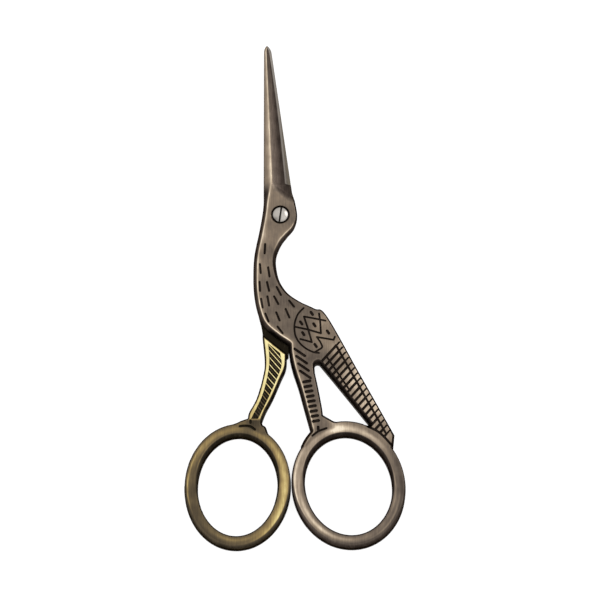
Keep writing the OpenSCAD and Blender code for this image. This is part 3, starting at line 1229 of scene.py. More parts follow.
        # Bevels: the bird's own, those of the blade, and a wider one along the nape
        widths = bevel_widths(whole, self.wide, self.narrow)
        rises = np.minimum(widths, self.tallest)
        first = len(body)
        on_right = slice(first, first + len(right))
        on_left = slice(first + len(right), len(whole))
        fade = 1 - smooth((right[:, 1] - blade.root_y) / 3.0)
        widths[on_right] = mix(blade.edge_bevel(edge - spine), self.narrow, fade)
        rises[on_right] = self.narrow * fade
        widths[on_left] = blade.ridge(down[:, 1])
        rises[on_left] = mix(self.tallest, 0.5 * blade.ridge(down[:, 1]), smooth((down[:, 1] - 4) / 4))
        near_head = np.flatnonzero((whole[:first, 1] > 0) & (whole[:first, 0] < 0))
        widths[near_head] = blade.ridge(whole[near_head, 1])
        behind = np.arange(first - len(back) - 1, first)
        neck_side = behind[(whole[behind, 1] > -20.0) & (whole[behind, 1] < -2.0)]
        nape = Ramp((-20, -16, -12, -6, -2), (self.narrow, 0.62, 0.85, 0.9, 0.5)).at(whole[neck_side, 1])
        widths[neck_side] = np.maximum(widths[neck_side], nape)
        rises[neck_side] = 0.8 * widths[neck_side]
        crests = np.concatenate([crest, np.zeros(len(right)), np.ones(len(down))])
        y = whole[neck_side, 1]
        crests[neck_side] = 0.85 * smooth((y + 9.5) / 4.0) * smooth((-1.6 - y) / 1.2)
        return whole, widths, rises, crests

    def measure(self, points: Points) -> dict[str, Values]:
        """Depth inside the piece and the bevel that belongs to it.

        Args:
            points: Points to measure.

        Returns:
            Depth, the bevel's width and height, depth in the plate, share that the ring has and strength of
            the painted highlight on the crest.
        """
        plate, place = depth(points, self.outline)
        ring, rounding = self.ring.measure(points)
        foot, _ = depth(points, self.foot)
        round_part = union(ring, foot, self.foot_fillet)
        share = np.clip(0.5 + (plate - round_part) / self.ring_blend, 0, 1)
        width = mix(rounding, along_outline(self.widths, place), share)
        rise = mix(0.9 * rounding, along_outline(self.rises, place), share)
        return {"depth": union(plate, round_part, self.ring_fillet), "width": width, "rise": rise,
                "plate": plate, "ring": 1 - share, "crest": along_outline(self.crests, place) * share}

    def relative(self, points: Points) -> Values:
        """Depth as a share of the bevel's width."""
        found = self.measure(points)
        return found["depth"] / found["width"]

    def seam(self) -> Points:
        """Line on the underside along which the rear half's thigh passes."""
        back = ((-0.9, -13.5), (-0.2, -17.5), (0.7, -21.5), (1.4, -25.5), (1.85, -29.5))
        right = [xy(x + 0.4, y) for x, y in back]
        return joined((0.3, -12), curve(right), right[-1], (right[-1][0], -32.6), (-20, -32.6))

    def grooves(self) -> list[Stroke]:
        """All the grooves of the upper face."""
        return self.neck_marks() + self.wing() + self.feathers() + self.leg_marks() + self.foot_marks()

    def neck_marks(self) -> list[Stroke]:
        """Short strokes for the plumage of neck and breast, each from its upper to its lower end.

        Returns:
            The grooves.
        """
        marks = [[(-3.35, -6.82), (-3.47, -8.95)], [(-4.5, -11.41), (-4.32, -13.45)],
                 [(-2.69, -12.14), (-2.38, -14.24)], [(-4.58, -15.45), (-4.47, -17.52)],
                 [(-2.93, -15.5), (-2.46, -17.52)], [(-0.79, -16.64), (0.14, -18.46)],
                 [(-4.24, -19.3), (-3.89, -21.3)], [(-2.84, -18.77), (-2.46, -20.86)],
                 [(-1.36, -18.77), (-0.43, -20.52)], [(1.96, -19.73), (3.02, -21.11)],
                 [(-3.29, -22.68), (-2.58, -24.47)], [(-0.89, -22.39), (-0.14, -24.25)],
                 [(1.19, -21.64), (2.01, -23.57)], [(-0.6, -25.63), (0.52, -27.12)]]
        return [stroke for mark in marks for stroke in strokes(mark, self.plume_w)]

    def wing(self) -> list[Stroke]:
        """Wing panel: its round border, lozenges and pips.

        Returns:
            The grooves.
        """
        border = curve([(5.15, -21.41), (4.14, -22.45), (3.57, -23.5), (3.18, -24.81), (3.11, -26.1),
                        (3.31, -27.58), (3.99, -28.96), (5.0, -30.09), (6.25, -30.94), (7.5, -31.46),
                        (8.77, -31.6)], 5)
        hook = curve([(7.5, -31.46), (8.35, -30.94), (9.1, -30.42), (9.19, -30.0), (8.69, -28.96),
                      (8.01, -27.98)], 5)
        lozenges = [[(8.01, -27.98), (11.72, -28.62), (12.0, -27.92)],
                    [(3.45, -25.72), (6.08, -26.29), (8.93, -27.15), (8.78, -24.45), (8.52, -22.64)],
                    [(9.94, -24.29), (8.69, -24.02), (5.2, -23.34), (6.01, -25.86), (6.93, -29.14),
                     (4.41, -28.44)]]
        pips = [(6.93, -22.64), (4.6, -24.81), (7.5, -25.24), (10.49, -26.87), (5.06, -27.24), (7.76, -29.9)]
        half_pip = xy(0.2, -0.3)
        return ([Stroke(border, self.wing_w), Stroke(hook, self.wing_w)]
                + [s for corners in lozenges for s in strokes(corners, self.lozenge_w)]
                + [s for p in pips for s in strokes([xy(*p) - half_pip, xy(*p) + half_pip], self.pip_w)])

    def feathers(self) -> list[Stroke]:
        """Tail feathers: slanting rungs across three columns.

        Returns:
            The grooves.
        """
        made = strokes([self.on_tail(6.75, self.quill), self.on_tail(29.3, self.quill)], self.quill_w)
        made += strokes([self.on_tail(7.9, 4.55), self.on_tail(17.2, 3.75)], self.rung_end_w)
        for k in range(self.rungs):
            start = self.rung_from + self.rung_pitch * k
            rung = self.rung(start)
            made += strokes([self.on_tail(start - 0.06, 0.5), rung[0]], self.rung_end_w)
            if np.linalg.norm(rung[-1] - rung[0]) > self.rung_least:
                made += strokes([rung[0], rung[-1]], self.rung_w)
        return made

    def on_tail(self, along: float, inwards: float) -> Points:
        """Point of the tail, by its distances along the outer edge and in from it."""
        return np.array(self.shoulder) + self.tail_way * along + self.tail_across * inwards

    def rung(self, start: float) -> Points:
        """Points of one rung, from the quill inwards to the tail's bevel or the ring.

        Args:
            start: Where the rung begins along the tail's outer edge.

        Returns:
            The points, at least one.
        """
        length = float(np.linalg.norm(self.tail_tip - np.array(self.shoulder)))
        share = (start + 1.2) / length
        over_gap = share < self.gap_share
        reach = mix(self.tail_root_w, self.tail_tip_w, share) - self.wide if over_gap else self.rung_longest
        steps = np.arange(self.quill, reach + 0.05, 0.1)
        points = np.array([self.on_tail(start + self.rung_slant * (far - 0.66), far) for far in steps])
        clear = self.ring.offset(points)[0] > self.ring_clear
        return points[clear] if clear.any() else points[:1]

    def leg_marks(self) -> list[Stroke]:
        """Slanting strokes on the thigh and rungs down the shin of the front leg.

        Returns:
            The grooves.
        """
        made = []
        for k in range(4):
            start = xy(3.13, -30.65) + xy(0.41, -1.66) * k
            made += strokes([start, start + [2.3, -1.62]], self.slash_w)
        for k in range(9):
            start = xy(5.12, -38.14) + xy(0.267, -1.1025) * k
            made += strokes([start, start + [1.4 - 0.03 * k, 0.26 - 0.01 * k]], self.shin_rung_w)
        return made

    def foot_marks(self) -> list[Stroke]:
        """Grooves where foot and tail lie over the ring.

        Returns:
            The grooves.
        """
        foot = curve([(7.05, -50.15), (8.25, -49.24), (9.4, -48.75), (10.32, -48.43)], 5)
        tail = curve([(19.3, -48.15), (21.8, -49.57), (24.29, -52.25), (24.9, -53.2)], 5)
        return [Stroke(foot, 0.5), Stroke(tail, 0.56)] + strokes([(8.3, -48.75), (8.3, -48.2)], 0.62)

    # Painted highlights and painted shade, on the whole piece and round its ring
    PAINTED_PATCHES = (PaintedPatch(-0.5, 2.0, 6.0, 0.09), PaintedPatch(9.6, -24.6, 2.6, 0.20), PaintedPatch(9.0, -28.6, 2.4, 0.10),
            PaintedPatch(1.0, -23.5, 3.5, -0.03), PaintedPatch(-3.4, -12.0, 2.2, 0.13), PaintedPatch(-3.0, -6.0, 2.4, 0.12),
            PaintedPatch(13.6, -30.5, 2.4, 0.34), PaintedPatch(17.0, -37.0, 4.2, 0.44), PaintedPatch(20.5, -44.0, 4.2, 0.42),
            PaintedPatch(23.6, -50.0, 2.6, 0.20), PaintedPatch(6.2, -45.0, 3.6, 0.08), PaintedPatch(12.3, -47.9, 2.2, 0.26),
            PaintedPatch(7.7, -32.8, 1.8, -0.10), PaintedPatch(5.0, -26.8, 2.2, -0.07), PaintedPatch(9.8, -49.0, 1.6, -0.08))
    PAINTED_RING_PATCHES = (PaintedRingPatch(172, 52, 0.78, 0.42, 0.52), PaintedRingPatch(180, 60, -0.15, 0.55, 0.30), PaintedRingPatch(92, 42, 0.2, 0.9, 0.33),
            PaintedRingPatch(45, 32, 0.1, 0.8, 0.24), PaintedRingPatch(-5, 40, -0.72, 0.16, 0.24), PaintedRingPatch(0, 45, 0.6, 0.6, -0.12),
            PaintedRingPatch(-90, 60, 0.8, 0.6, -0.22), PaintedRingPatch(-100, 45, -0.5, 0.4, 0.12), PaintedRingPatch(-138, 32, -0.25, 0.5, 0.26),
            PaintedRingPatch(-48, 30, 0.2, 0.22, 0.26), PaintedRingPatch(130, 26, -0.62, 0.18, 0.24))

    # Painted shade along the bevels, by the depth as a share of their width: under a lit crest, and elsewhere
    LIT_SLOPE = Ramp((0, 0.3, 0.62, 0.8, 0.9), (0.02, 0.08, 0.18, 0.36, 0.62))
    SHADED_SLOPE = Ramp((0, 0.65, 0.88, 1.0), (0.01, 0.03, 0.14, 0.40))
    # Painted highlight along a crest, by the depth as a share of the bevel's width
    CREST = Ramp((0.74, 0.86, 0.94, 1.03, 1.14), (0, 0.75, 1, 1, 0))
    # Painted light across the blade: highlight from spine to ridge, and shade from ridge to cutting edge
    SPINE_LIGHT = Ramp((0, 0.12, 0.5, 0.75, 0.9, 1.0, 1.1), (0.22, 0.56, 0.66, 0.78, 0.93, 0.90, 0.62))
    HOLLOW_SHADE = Ramp((0, 0.1, 0.32, 0.7, 1.0), (0.56, 0.42, 0.22, 0.15, 0.14))
    PLAIN_TONE = 0.45
    # Brightness of the painted highlight on a crest
    CREST_HIGHLIGHT = 0.96
    EDGE_TONE = 0.46

    def tones(self, flat: Points, found: dict[str, Values], carved: Values, recess: Values,
              ground: Values) -> tuple[Values, Values]:
        """Brightness with painted light and shade, and share of bare steel on the upper face.

        Args:
            flat: Points of the pattern.
            found: What measure() says of them.
            carved: Depth of the grooves at them.
            recess: Whether they lie in the screw's recess.
            ground: Share of the grinding that they get.

        Returns:
            The brightness and the share of bare steel.
        """
        blade = self.blade
        x, y = flat[:, 0], flat[:, 1]
        u = found["depth"] / found["width"]
        crest = found["crest"]
        offset, angle = self.ring.offset(flat)
        # Painted highlights and painted shade: round patches, and along the ring's band
        tone = self.PLAIN_TONE + sum(patch.at(flat) for patch in self.PAINTED_PATCHES)
        tone = tone + found["ring"] * sum(ring_patch.at(offset, angle) for ring_patch in self.PAINTED_RING_PATCHES)

        on_blade = smooth((y - 4.5) / 3.5) * (x < 9)
        past_crest = np.clip(found["depth"] - found["width"], 0, None)
        # Painted highlight that spreads from a lit crest onto the face
        tone = tone + 0.26 * crest * np.exp(-past_crest / 0.55) * (1 - on_blade)
        # Painted shade on the bevels, then the painted highlight along the crest
        slope = mix(self.SHADED_SLOPE.at(u), self.LIT_SLOPE.at(u), smooth(crest / 0.5))
        slope = mix(slope, self.ring.edge_shade(u, offset), found["ring"])
        tone = mix(tone, slope, SLOPE_SHOWS.at(u))
        tone = mix(tone, self.CREST_HIGHLIGHT, crest * self.CREST.at(u) * (1 - on_blade))

        # Painted light across the blade: highlight towards the ridge, shade down the hollow
        s, w = blade.place(x, y)
        ridge = blade.ridge(y)
        tone = mix(tone, self.SPINE_LIGHT.at(u), on_blade * (s < 1.1 * ridge))
        v = np.clip((s - ridge) / np.maximum(w - blade.bevel_w - ridge, 0.05), 0, 1)
        tone = mix(tone, self.HOLLOW_SHADE.at(v), ground * (s > 1.04 * ridge))
        strip = np.clip((s - w + blade.bevel_w) / 0.12, 0, 1) * blade.stepped(y) * ground
        tone = mix(tone, self.EDGE_TONE, strip)
        tone = np.where(recess, 0.0, blackened(tone, carved))
        return np.clip(tone, 0, 1), np.clip(0.4 * strip, 0, 1)

    def build(self) -> bpy.types.Object:
        """Makes the piece.

        Returns:
            Its object.
        """
        pattern = Forging("front_half_forging")
        low, high = self.outline.min(0) - 1, self.outline.max(0) + 1
        low = np.minimum(low, self.ring.round().min(0) - 3)
        high = np.maximum(high, self.ring.round().max(0) + 3)
        pattern.outline(self.relative, low, high)
        for line in self.blade.lines():
            pattern.line(line)
        for line in self.ring.lines():
            pattern.line(line, True)
        pattern.heel_dots(self.relative)
        seam = self.seam()
        for side in (-STEP, STEP):
            pattern.line(shifted(seam, side))
            pattern.line(pattern.circle(self.recess_r + side), True)
        pattern.line(pattern.circle(self.recess_r + self.recess_edge), True)
        pattern.line(pattern.circle(self.bore_r), True)
        cuts = self.grooves()
        pattern.grooves(cuts)
        flat, triangles = pattern.faces(self.bore_r)

        blade = self.blade
        found = self.measure(flat)
        x, y = flat[:, 0], flat[:, 1]
        s, w = blade.place(x, y)
        in_plate = smooth(found["plate"] / 0.8)
        face = mix(RING_Z + RING_T, TOTAL_T, in_plate)
        face = np.where(y > blade.root_y, FRONT_UNDER + blade.thickness(y), face)
        ground = blade.plunge(s, y)
        carved = np.max([groove.cut(flat) for groove in cuts], 0)
        bevel = edge_drop(found["depth"] / found["width"], found["rise"], found["ring"])
        top = face - bevel - ground * blade.ground(s, w, y) - carved
        away = np.hypot(x, y)
        recess = away < self.recess_r
        lip = np.clip((self.recess_r + self.recess_edge - away) / 0.12, 0, 1) * (away > self.recess_r)
        top = np.where(recess, self.recess_z, top - 0.12 * lip)

        rebated = inside(flat, joined(seam, (-20, 60), (20, 60), (20, -12)))
        under_r = mix(0.3, 0.8 * found["width"], found["ring"])
        rounding = edge_drop(found["depth"] / under_r, under_r, np.ones(len(flat)))
        bottom = np.where(rebated, FRONT_UNDER, mix(RING_Z, 0.0, in_plate) + rounding)
        top = np.maximum(top, bottom + THINNEST)

        tone, steel = self.tones(flat, found, carved, recess, ground)
        # Underside darker towards the edges, so that the side walls carry painted shade
        tone_below = np.where(rebated, 0.3, np.clip(0.05 + 0.42 * smooth(found["depth"] / 0.8), 0, 1))
        steel_below = np.where(rebated & (y > blade.root_y), 0.5, 0.0)
        return pattern.solid(flat, triangles, top, bottom,
                             {"tone": (tone, tone_below), "ground": (steel, steel_below)})


@dataclass
class RearHalf:
    """Lower half: the rear leg with its sunk panel, the left ring and the lower blade."""

    blade: Blade
    ring: Ring
    # Thin part under the bird
    head_w: float = 7.75
    neck_w: float = 4.95
    neck_y: float = 10.6
    bore_r: float = 0.98
    # Raised leg and its sunk panel
    thigh_w: float = 4.7
    shin_w: float = 3.55
    shoulder_gap: float = 1.8
    panel_border: float = 1.0
    panel_deep: float = 0.35
    # Bevels, and how leg and ring run into each other
    wide: float = 0.58
    narrow: float = 0.4
    ring_fillet: float = 0.4
    ring_blend: float = 1.0

    def __post_init__(self) -> None:
        """Works out the places that several shapes share."""
        self.leg = [xy(-1.05, -33.6), xy(-1.9, -37.6), xy(-3.4, -41.8), xy(-4.95, -44.8)]
        self.calf_w = mix(self.thigh_w, self.shin_w, 0.5)
        self.lower = self.trace_lower()
        self.raised = self.trace_raised()
        out = outward(self.raised)
        self.widths = mix(self.narrow, self.wide, smooth((0.8 * out[:, 0] - 0.6 * out[:, 1] + 0.3) / 0.4))
        self.panel = self.trace_panel()

    def on_shoulder(self, x: float) -> Points:
        """Point on the line along which the raised leg ends under the body.

        Args:
            x: How far across the point lies.

        Returns:
            The point.
        """
        start = xy(-3.75, -25.1)
        way = unit(xy(1.8, -29.6) - start)
        first = start + xy(way[1], -way[0]) * self.shoulder_gap
        return first + way * (x - first[0]) / way[0]

    def trace_lower(self) -> Points:
        """Outline of the thin part: thigh, head and blade.

        Returns:
            The closed outline.
        """
        neck = xy(-self.neck_w / 2 - 0.87, -self.neck_y)
        blade = self.blade
        left = curve([(-3.4, 4.9), (-3.6, 2.2), (-self.head_w / 2 + TUCK, -0.3), (-4.5, -4),
                      neck - [self.neck_w / 2 - 0.07 - TUCK, -1.2], (-5.76, -14.4), (-5.55, -18.4),
                      (-4.85, -22.4), (-4.15, -25.2), (-3.6, -28.4), (-2.9, -30.6)])
        back = curve([(1.85, -32.2), (1.85, -29.5), (1.4, -25.5), (0.7, -21.5), (-0.2, -17.5), (-0.9, -13.5),
                      neck + [self.neck_w / 2 - TUCK, 0.8], (0, -6.6), (1.4, -4.7), (2.9, -2.7),
                      (self.head_w / 2 - 0.15 - TUCK, -0.2), (3.05, 3.2)])
        y = blade.heights(3.9, 150)
        full, _ = blade.edges(y)
        spine, edge = blade.sides(y)
        right = np.stack([full - spine - blade.spine_x, y], 1)
        down = np.stack([full - edge - blade.spine_x, y], 1)[::-1][:-8]
        return joined(left, (-2.9, -30.6), (0.9, -32.9), back, (3.05, 3.2), right, down)

    def trace_raised(self) -> Points:
        """Outline of the leg, which stands up beside the body.

        Returns:
            The closed outline.
        """
        ring = self.ring
        leg = self.leg
        halves = [self.thigh_w / 2, self.calf_w / 2, self.shin_w / 2, self.shin_w / 2]
        left_side = [p - [h, 0] for p, h in zip(leg, halves)]
        left = curve([self.on_shoulder(-3.95), *left_side, ring.at(85.5, 2.85)])
        foot = [ring.at(*p) for p in ((85.5, 2.85), (92.5, 2.1), (99, 1.45), (99, -TUCK), (80, -TUCK),
                                      (60, -TUCK))]
        right = curve([ring.at(61.5, 1.6), ring.at(66.7, 2.45), ring.at(71.7, 2.85), leg[3] + [halves[3], 0],
                       leg[2] + [halves[2], 0], leg[1] + [halves[1], 0], leg[0] + [halves[0], -1.2],
                       self.on_shoulder(1.5)])
        return joined(left, foot, right, self.on_shoulder(1.5))

    def trace_panel(self) -> Points:
        """Outline of the leg's sunk panel.

        Returns:
            The closed outline.
        """
        half = [w / 2 - self.panel_border for w in (self.thigh_w, self.calf_w, self.shin_w)]
        top = xy(-2.64, -29.45)
        end = xy(-5.6, -46.4)
        left = curve([top, *[p - [h, 0] for p, h in zip(self.leg, half)], end - [half[2], 0]])
        right = curve([end + [half[2], 0], self.leg[2] + [half[2], 0], self.leg[1] + [half[1], 0],
                       self.leg[0] + [half[0], -0.8], top + [2.65, -2.2]])
        return joined(left, end - [half[2], 0], right, top + [2.65, -2.2])

    def measure(self, points: Points) -> dict[str, Values]:
        """Depths inside the whole piece and inside its raised part.

        Args:
            points: Points to measure.

        Returns:
            Both depths, the bevel's width and how much a point belongs to the ring.
        """
        lower, _ = depth(points, self.lower)
        leg, place = depth(points, self.raised)
        ring, rounding = self.ring.measure(points)
        share = np.clip(0.5 + (leg - ring) / self.ring_blend, 0, 1)
        raised = union(leg, ring, self.ring_fillet)
        width = mix(rounding, along_outline(self.widths, place), share)
        return {"depth": np.maximum(raised, lower), "raised": raised, "width": width, "leg": leg,
                "ring": 1 - share, "lower": lower}

    def relative(self, points: Points) -> Values:
        """Depth in the whole piece as a share of the bevel's width."""
        found = self.measure(points)
        return found["depth"] / found["width"]

    def grooves(self) -> list[Stroke]:
        """Grooves where the foot lies over the ring.

        Returns:
            The grooves.
        """
        foot = curve([(-8.8, -48.05), (-7.6, -47.95), (-6.4, -48.15), (-5.3, -48.95)], 5)
        return [Stroke(foot, 0.58)] + strokes([(-6.47, -46.75), (-6.47, -47.3)], 0.55)

    # Painted highlights and painted shade, on the whole piece and round its ring
    PAINTED_PATCHES = (PaintedPatch(-5.6, -47.2, 1.6, -0.20), PaintedPatch(-9.0, -47.6, 1.8, 0.06))
    PAINTED_RING_PATCHES = (PaintedRingPatch(-5, 50, 0.1, 1.0, 0.40), PaintedRingPatch(-42, 28, 0.5, 0.5, 0.20), PaintedRingPatch(50, 30, 0.3, 0.7, 0.20),
            PaintedRingPatch(132, 32, 0.25, 0.6, 0.30), PaintedRingPatch(182, 40, 0.78, 0.16, 0.36), PaintedRingPatch(140, 26, -0.62, 0.16, 0.34),
            PaintedRingPatch(180, 55, -0.5, 0.7, -0.10), PaintedRingPatch(-90, 35, -0.5, 0.4, 0.22), PaintedRingPatch(-122, 35, 0.7, 0.6, -0.16))
    # Brightness of the leg's raised border, darker towards the ankle, by the height on the object
    BORDER = Ramp((-47, -43, -39, -30), (0.76, 0.90, 0.97, 0.97))
    # Painted shade along the bevels, by the depth as a share of their width
    SHADED_SLOPE = Ramp((0, 0.55, 0.8, 0.95), (0.01, 0.03, 0.14, 0.45))
    PLAIN_TONE = 0.42
    BLADE_TONE = 0.34

    def tones(self, flat: Points, found: dict[str, Values], in_panel: Values, carved: Values) -> Values:
        """Brightness of the finish on the upper face, painted light and shade included.

        Args:
            flat: Points of the pattern.
            found: What measure() says of them.
            in_panel: Whether they lie in the sunk panel.
            carved: Depth of the grooves at them.

        Returns:
            The brightness.
        """
        y = flat[:, 1]
        u = found["raised"] / found["width"]
        offset, angle = self.ring.offset(flat)
        # Painted highlights and painted shade: round patches, and along the ring's band
        tone = self.PLAIN_TONE + sum(patch.at(flat) for patch in self.PAINTED_PATCHES)
        tone = tone + found["ring"] * sum(ring_patch.at(offset, angle) for ring_patch in self.PAINTED_RING_PATCHES)
        on_leg = smooth(found["leg"] / 0.5) * smooth((y + 46.9) / 0.6)
        tone = mix(tone, self.BORDER.at(y), on_leg)
        # Painted shade on the bevels
        slope = mix(self.SHADED_SLOPE.at(u), self.ring.edge_shade(u, offset), found["ring"])
        tone = mix(tone, slope, SLOPE_SHOWS.at(u))
        tone = blackened(np.where(in_panel, 0.0, tone), carved)
        # Painted shadow: the thin layer under the body is black, and the lower blade keeps a plain tone
        tone = np.where(found["raised"] > 0, tone, np.where(y > 4.0, self.BLADE_TONE, 0.0))
        return np.clip(tone, 0, 1)

    def turned_over(self, flat: Points) -> Points:
        """Points turned over into the upper blade's own layout, or back.

        Args:
            flat: Points on or near the lower blade.

        Returns:
            The same heights, with left and right swapped about the blade's middle.
        """
        full, _ = self.blade.edges(flat[:, 1])
        return np.stack([full - 2 * self.blade.spine_x - flat[:, 0], flat[:, 1]], 1)

    def build(self) -> bpy.types.Object:
        """Makes the piece.

        Returns:
            Its object.
        """
        pattern = Forging("rear_half_forging")
        rings = self.ring.round()
        low = np.minimum(self.lower.min(0), rings.min(0)) - 3
        high = np.maximum(self.lower.max(0), rings.max(0)) + 2
        pattern.outline(self.relative, low, high)
        for line in self.blade.lines():
            pattern.line(self.turned_over(line))
        for line in self.ring.lines():
            pattern.line(line, True)
        pattern.heel_dots(self.relative)
        edge = joined(self.on_shoulder(-6.5), self.on_shoulder(-2.0), self.on_shoulder(3.5))
        knee = joined((1.5, -31.67), (1.55, -34.5))
        for side in (-STEP, STEP):
            pattern.line(shifted(edge, side))
            pattern.line(shifted(knee, side))
            pattern.line(self.panel - outward(self.panel) * side, True)
        for away in (0.12, 0.3, 0.5, 0.7):
            pattern.line(shifted(edge, away))
        pattern.line(pattern.circle(self.bore_r), True)
        cuts = self.grooves()
        pattern.grooves(cuts)
        flat, triangles = pattern.faces(self.bore_r)

        found = self.measure(flat)
        y = flat[:, 1]
        in_leg = smooth(found["leg"] / 0.8)
        face = mix(RING_Z + RING_T, TOTAL_T, in_leg)
        roundness = mix(0.4, 1.0, found["ring"])
        bevel = edge_drop(found["raised"] / found["width"], 0.9 * found["width"], roundness)
        in_panel = inside(flat, self.panel)
        carved = np.max([groove.cut(flat) for groove in cuts], 0)
        raised_top = face - bevel - carved - self.panel_deep * in_panel
        top = np.where(found["raised"] > 0, raised_top, LAYER_T)

        blade = self.blade
        over = self.turned_over(flat)
        s, w = blade.place(over[:, 0], y)
        ridge = blade.ridge(y)
        on_blade = y > blade.root_y
        no_edge = 9.0
        outer = np.where(y > 4.5, no_edge, found["depth"])
        under_r = mix(0.3, 0.8 * found["width"], found["ring"])
        base = mix(RING_Z, 0.0, np.maximum(in_leg, smooth(found["lower"] / 0.3)))
        bottom = base + edge_drop(outer / under_r, under_r, np.ones(len(flat)))
        thinner = LAYER_T - blade.thickness(y)
        ground = blade.plunge(s, y) * blade.ground(s, w, y)
        spine_bevel = edge_drop(s / ridge, 0.5 * ridge, np.zeros(len(flat)))
        bottom = bottom + np.where(on_blade, thinner + ground, 0)
        bottom = bottom + smooth((y - 4.5) / 3) * spine_bevel * on_blade
        bottom = np.minimum(bottom, top - THINNEST)

        tone = self.tones(flat, found, in_panel, carved)
        # Underside darker towards the edges, so that the side walls carry painted shade
        tone_below = np.clip(0.05 + 0.4 * smooth(found["depth"] / 0.8), 0, 1)
        steel = np.where(y > 4.0, 0.22, 0.0)
        return pattern.solid(flat, triangles, top, bottom,
                             {"tone": (tone, tone_below), "ground": (steel, np.zeros(len(flat)))})


@dataclass
class LegRibs:
    """Slanting ribs across the sunk panel of the rear leg."""

    rear: RearHalf
    pitch: float = 1.30
    lean: float = -49.0
    rib_r: float = 0.105
    # How far the ribs' ends run into the panel's walls, and how far their middles lie over its floor
    buried: float = 0.14
    lift: float = 0.06
    # Brightness and size of the thin rib between two thick ones
    between_tone: float = 0.32
    between_size: float = 0.5

    # Brightness of the ribs by the height on the object: brighter above and duller towards the ankle
    SHINE = Ramp((-43.5, -41.5, -39.5), (0.36, 0.62, 0.97))

    def path(self) -> tuple[Points, Values]:
        """Middle line of the panel, with the ribs' reach along it.

        Returns:
            The line's points and the reach at each.
        """
        rear = self.rear
        half = [w / 2 - rear.panel_border for w in (rear.thigh_w, rear.calf_w, rear.shin_w)]
        line = curve([(-1.12, -31.3), *rear.leg[:3], (-5.45, -46.0)], 6)
        reach = np.interp(np.arange(len(line)) / 6, range(5), [half[0], half[0], half[1], half[2], half[2]])
        along = np.gradient(line, axis=0)
        square = np.arctan2(along[:, 0], -along[:, 1])
        return line, (reach + self.buried) / np.cos(square - math.radians(self.lean))

    def tree(self, material: bpy.types.Material) -> bpy.types.NodeTree:
        """Node tree that sets ribs along a path.

        Args:
            material: The ribs' material.

        Returns:
            The tree.
        """
        tree = bpy.data.node_groups.new("ribs_along_leg", "GeometryNodeTree")
        face = tree.interface
        face.new_socket("Geometry", in_out="INPUT", socket_type="NodeSocketGeometry")
        for name in ("Pitch", "Rib radius", "Lean"):
            face.new_socket(name, in_out="INPUT", socket_type="NodeSocketFloat")
        face.new_socket("Geometry", in_out="OUTPUT", socket_type="NodeSocketGeometry")
        make = tree.nodes.new
        link = tree.links.new
        given = make("NodeGroupInput")
        result = make("NodeGroupOutput")

        # Points along the path, every second one for a thin rib between two thick ones
        to_curve = make("GeometryNodeMeshToCurve")
        spaced = make("GeometryNodeResampleCurve")
        spaced.mode = "LENGTH"
        link(given.outputs["Geometry"], to_curve.inputs[0])
        link(to_curve.outputs[0], spaced.inputs["Curve"])
        link(given.outputs["Pitch"], spaced.inputs["Length"])
        number = make("GeometryNodeInputIndex")
        parity = make("ShaderNodeMath")
        parity.operation = "MODULO"
        parity.inputs[1].default_value = 2.0
        link(number.outputs[0], parity.inputs[0])

        # Brightness, kept for the finish
        tone = make("ShaderNodeMapRange")
        keep_tone = make("GeometryNodeStoreNamedAttribute")
        shine = make("GeometryNodeInputNamedAttribute")
        shine.data_type = "FLOAT"
        shine.inputs["Name"].default_value = "shine"
        tone.inputs["To Max"].default_value = self.between_tone
        link(shine.outputs[0], tone.inputs["To Min"])
        link(parity.outputs[0], tone.inputs["Value"])
        keep_tone.data_type = "FLOAT"
        keep_tone.domain = "POINT"
        keep_tone.inputs["Name"].default_value = "tone"
        link(spaced.outputs[0], keep_tone.inputs["Geometry"])
        link(tone.outputs[0], keep_tone.inputs["Value"])

        # One round bar, two units long
        bar = make("GeometryNodeCurvePrimitiveLine")
        profile = make("GeometryNodeCurvePrimitiveCircle")
        rod = make("GeometryNodeCurveToMesh")
        bar.inputs["Start"].default_value = (-1, 0, 0)
        bar.inputs["End"].default_value = (1, 0, 0)
        profile.inputs["Resolution"].default_value = 10
        rod.inputs["Fill Caps"].default_value = True
        link(given.outputs["Rib radius"], profile.inputs["Radius"])
        link(bar.outputs[0], rod.inputs["Curve"])
        link(profile.outputs[0], rod.inputs["Profile Curve"])

        # Its size at each point
        reach = make("GeometryNodeInputNamedAttribute")
        size = make("ShaderNodeCombineXYZ")
        thin = make("ShaderNodeMapRange")
        reach.data_type = "FLOAT"
        reach.inputs["Name"].default_value = "reach"
        thin.inputs["To Min"].default_value = 1.0
        thin.inputs["To Max"].default_value = self.between_size
        link(parity.outputs[0], thin.inputs["Value"])
        link(reach.outputs[0], size.inputs["X"])
        link(thin.outputs[0], size.inputs["Y"])
        link(thin.outputs[0], size.inputs["Z"])

        # A turned bar on every point
        turn = make("ShaderNodeCombineXYZ")
        placed = make("GeometryNodeInstanceOnPoints")
        link(given.outputs["Lean"], turn.inputs["Z"])
        link(keep_tone.outputs[0], placed.inputs["Points"])
        link(rod.outputs[0], placed.inputs["Instance"])
        link(turn.outputs[0], placed.inputs["Rotation"])
        link(size.outputs[0], placed.inputs["Scale"])
        real = make("GeometryNodeRealizeInstances")
        finish = make("GeometryNodeSetMaterial")
        finish.inputs["Material"].default_value = material
        link(placed.outputs[0], real.inputs[0])
        link(real.outputs[0], finish.inputs["Geometry"])
        link(finish.outputs[0], result.inputs[0])
        return tree

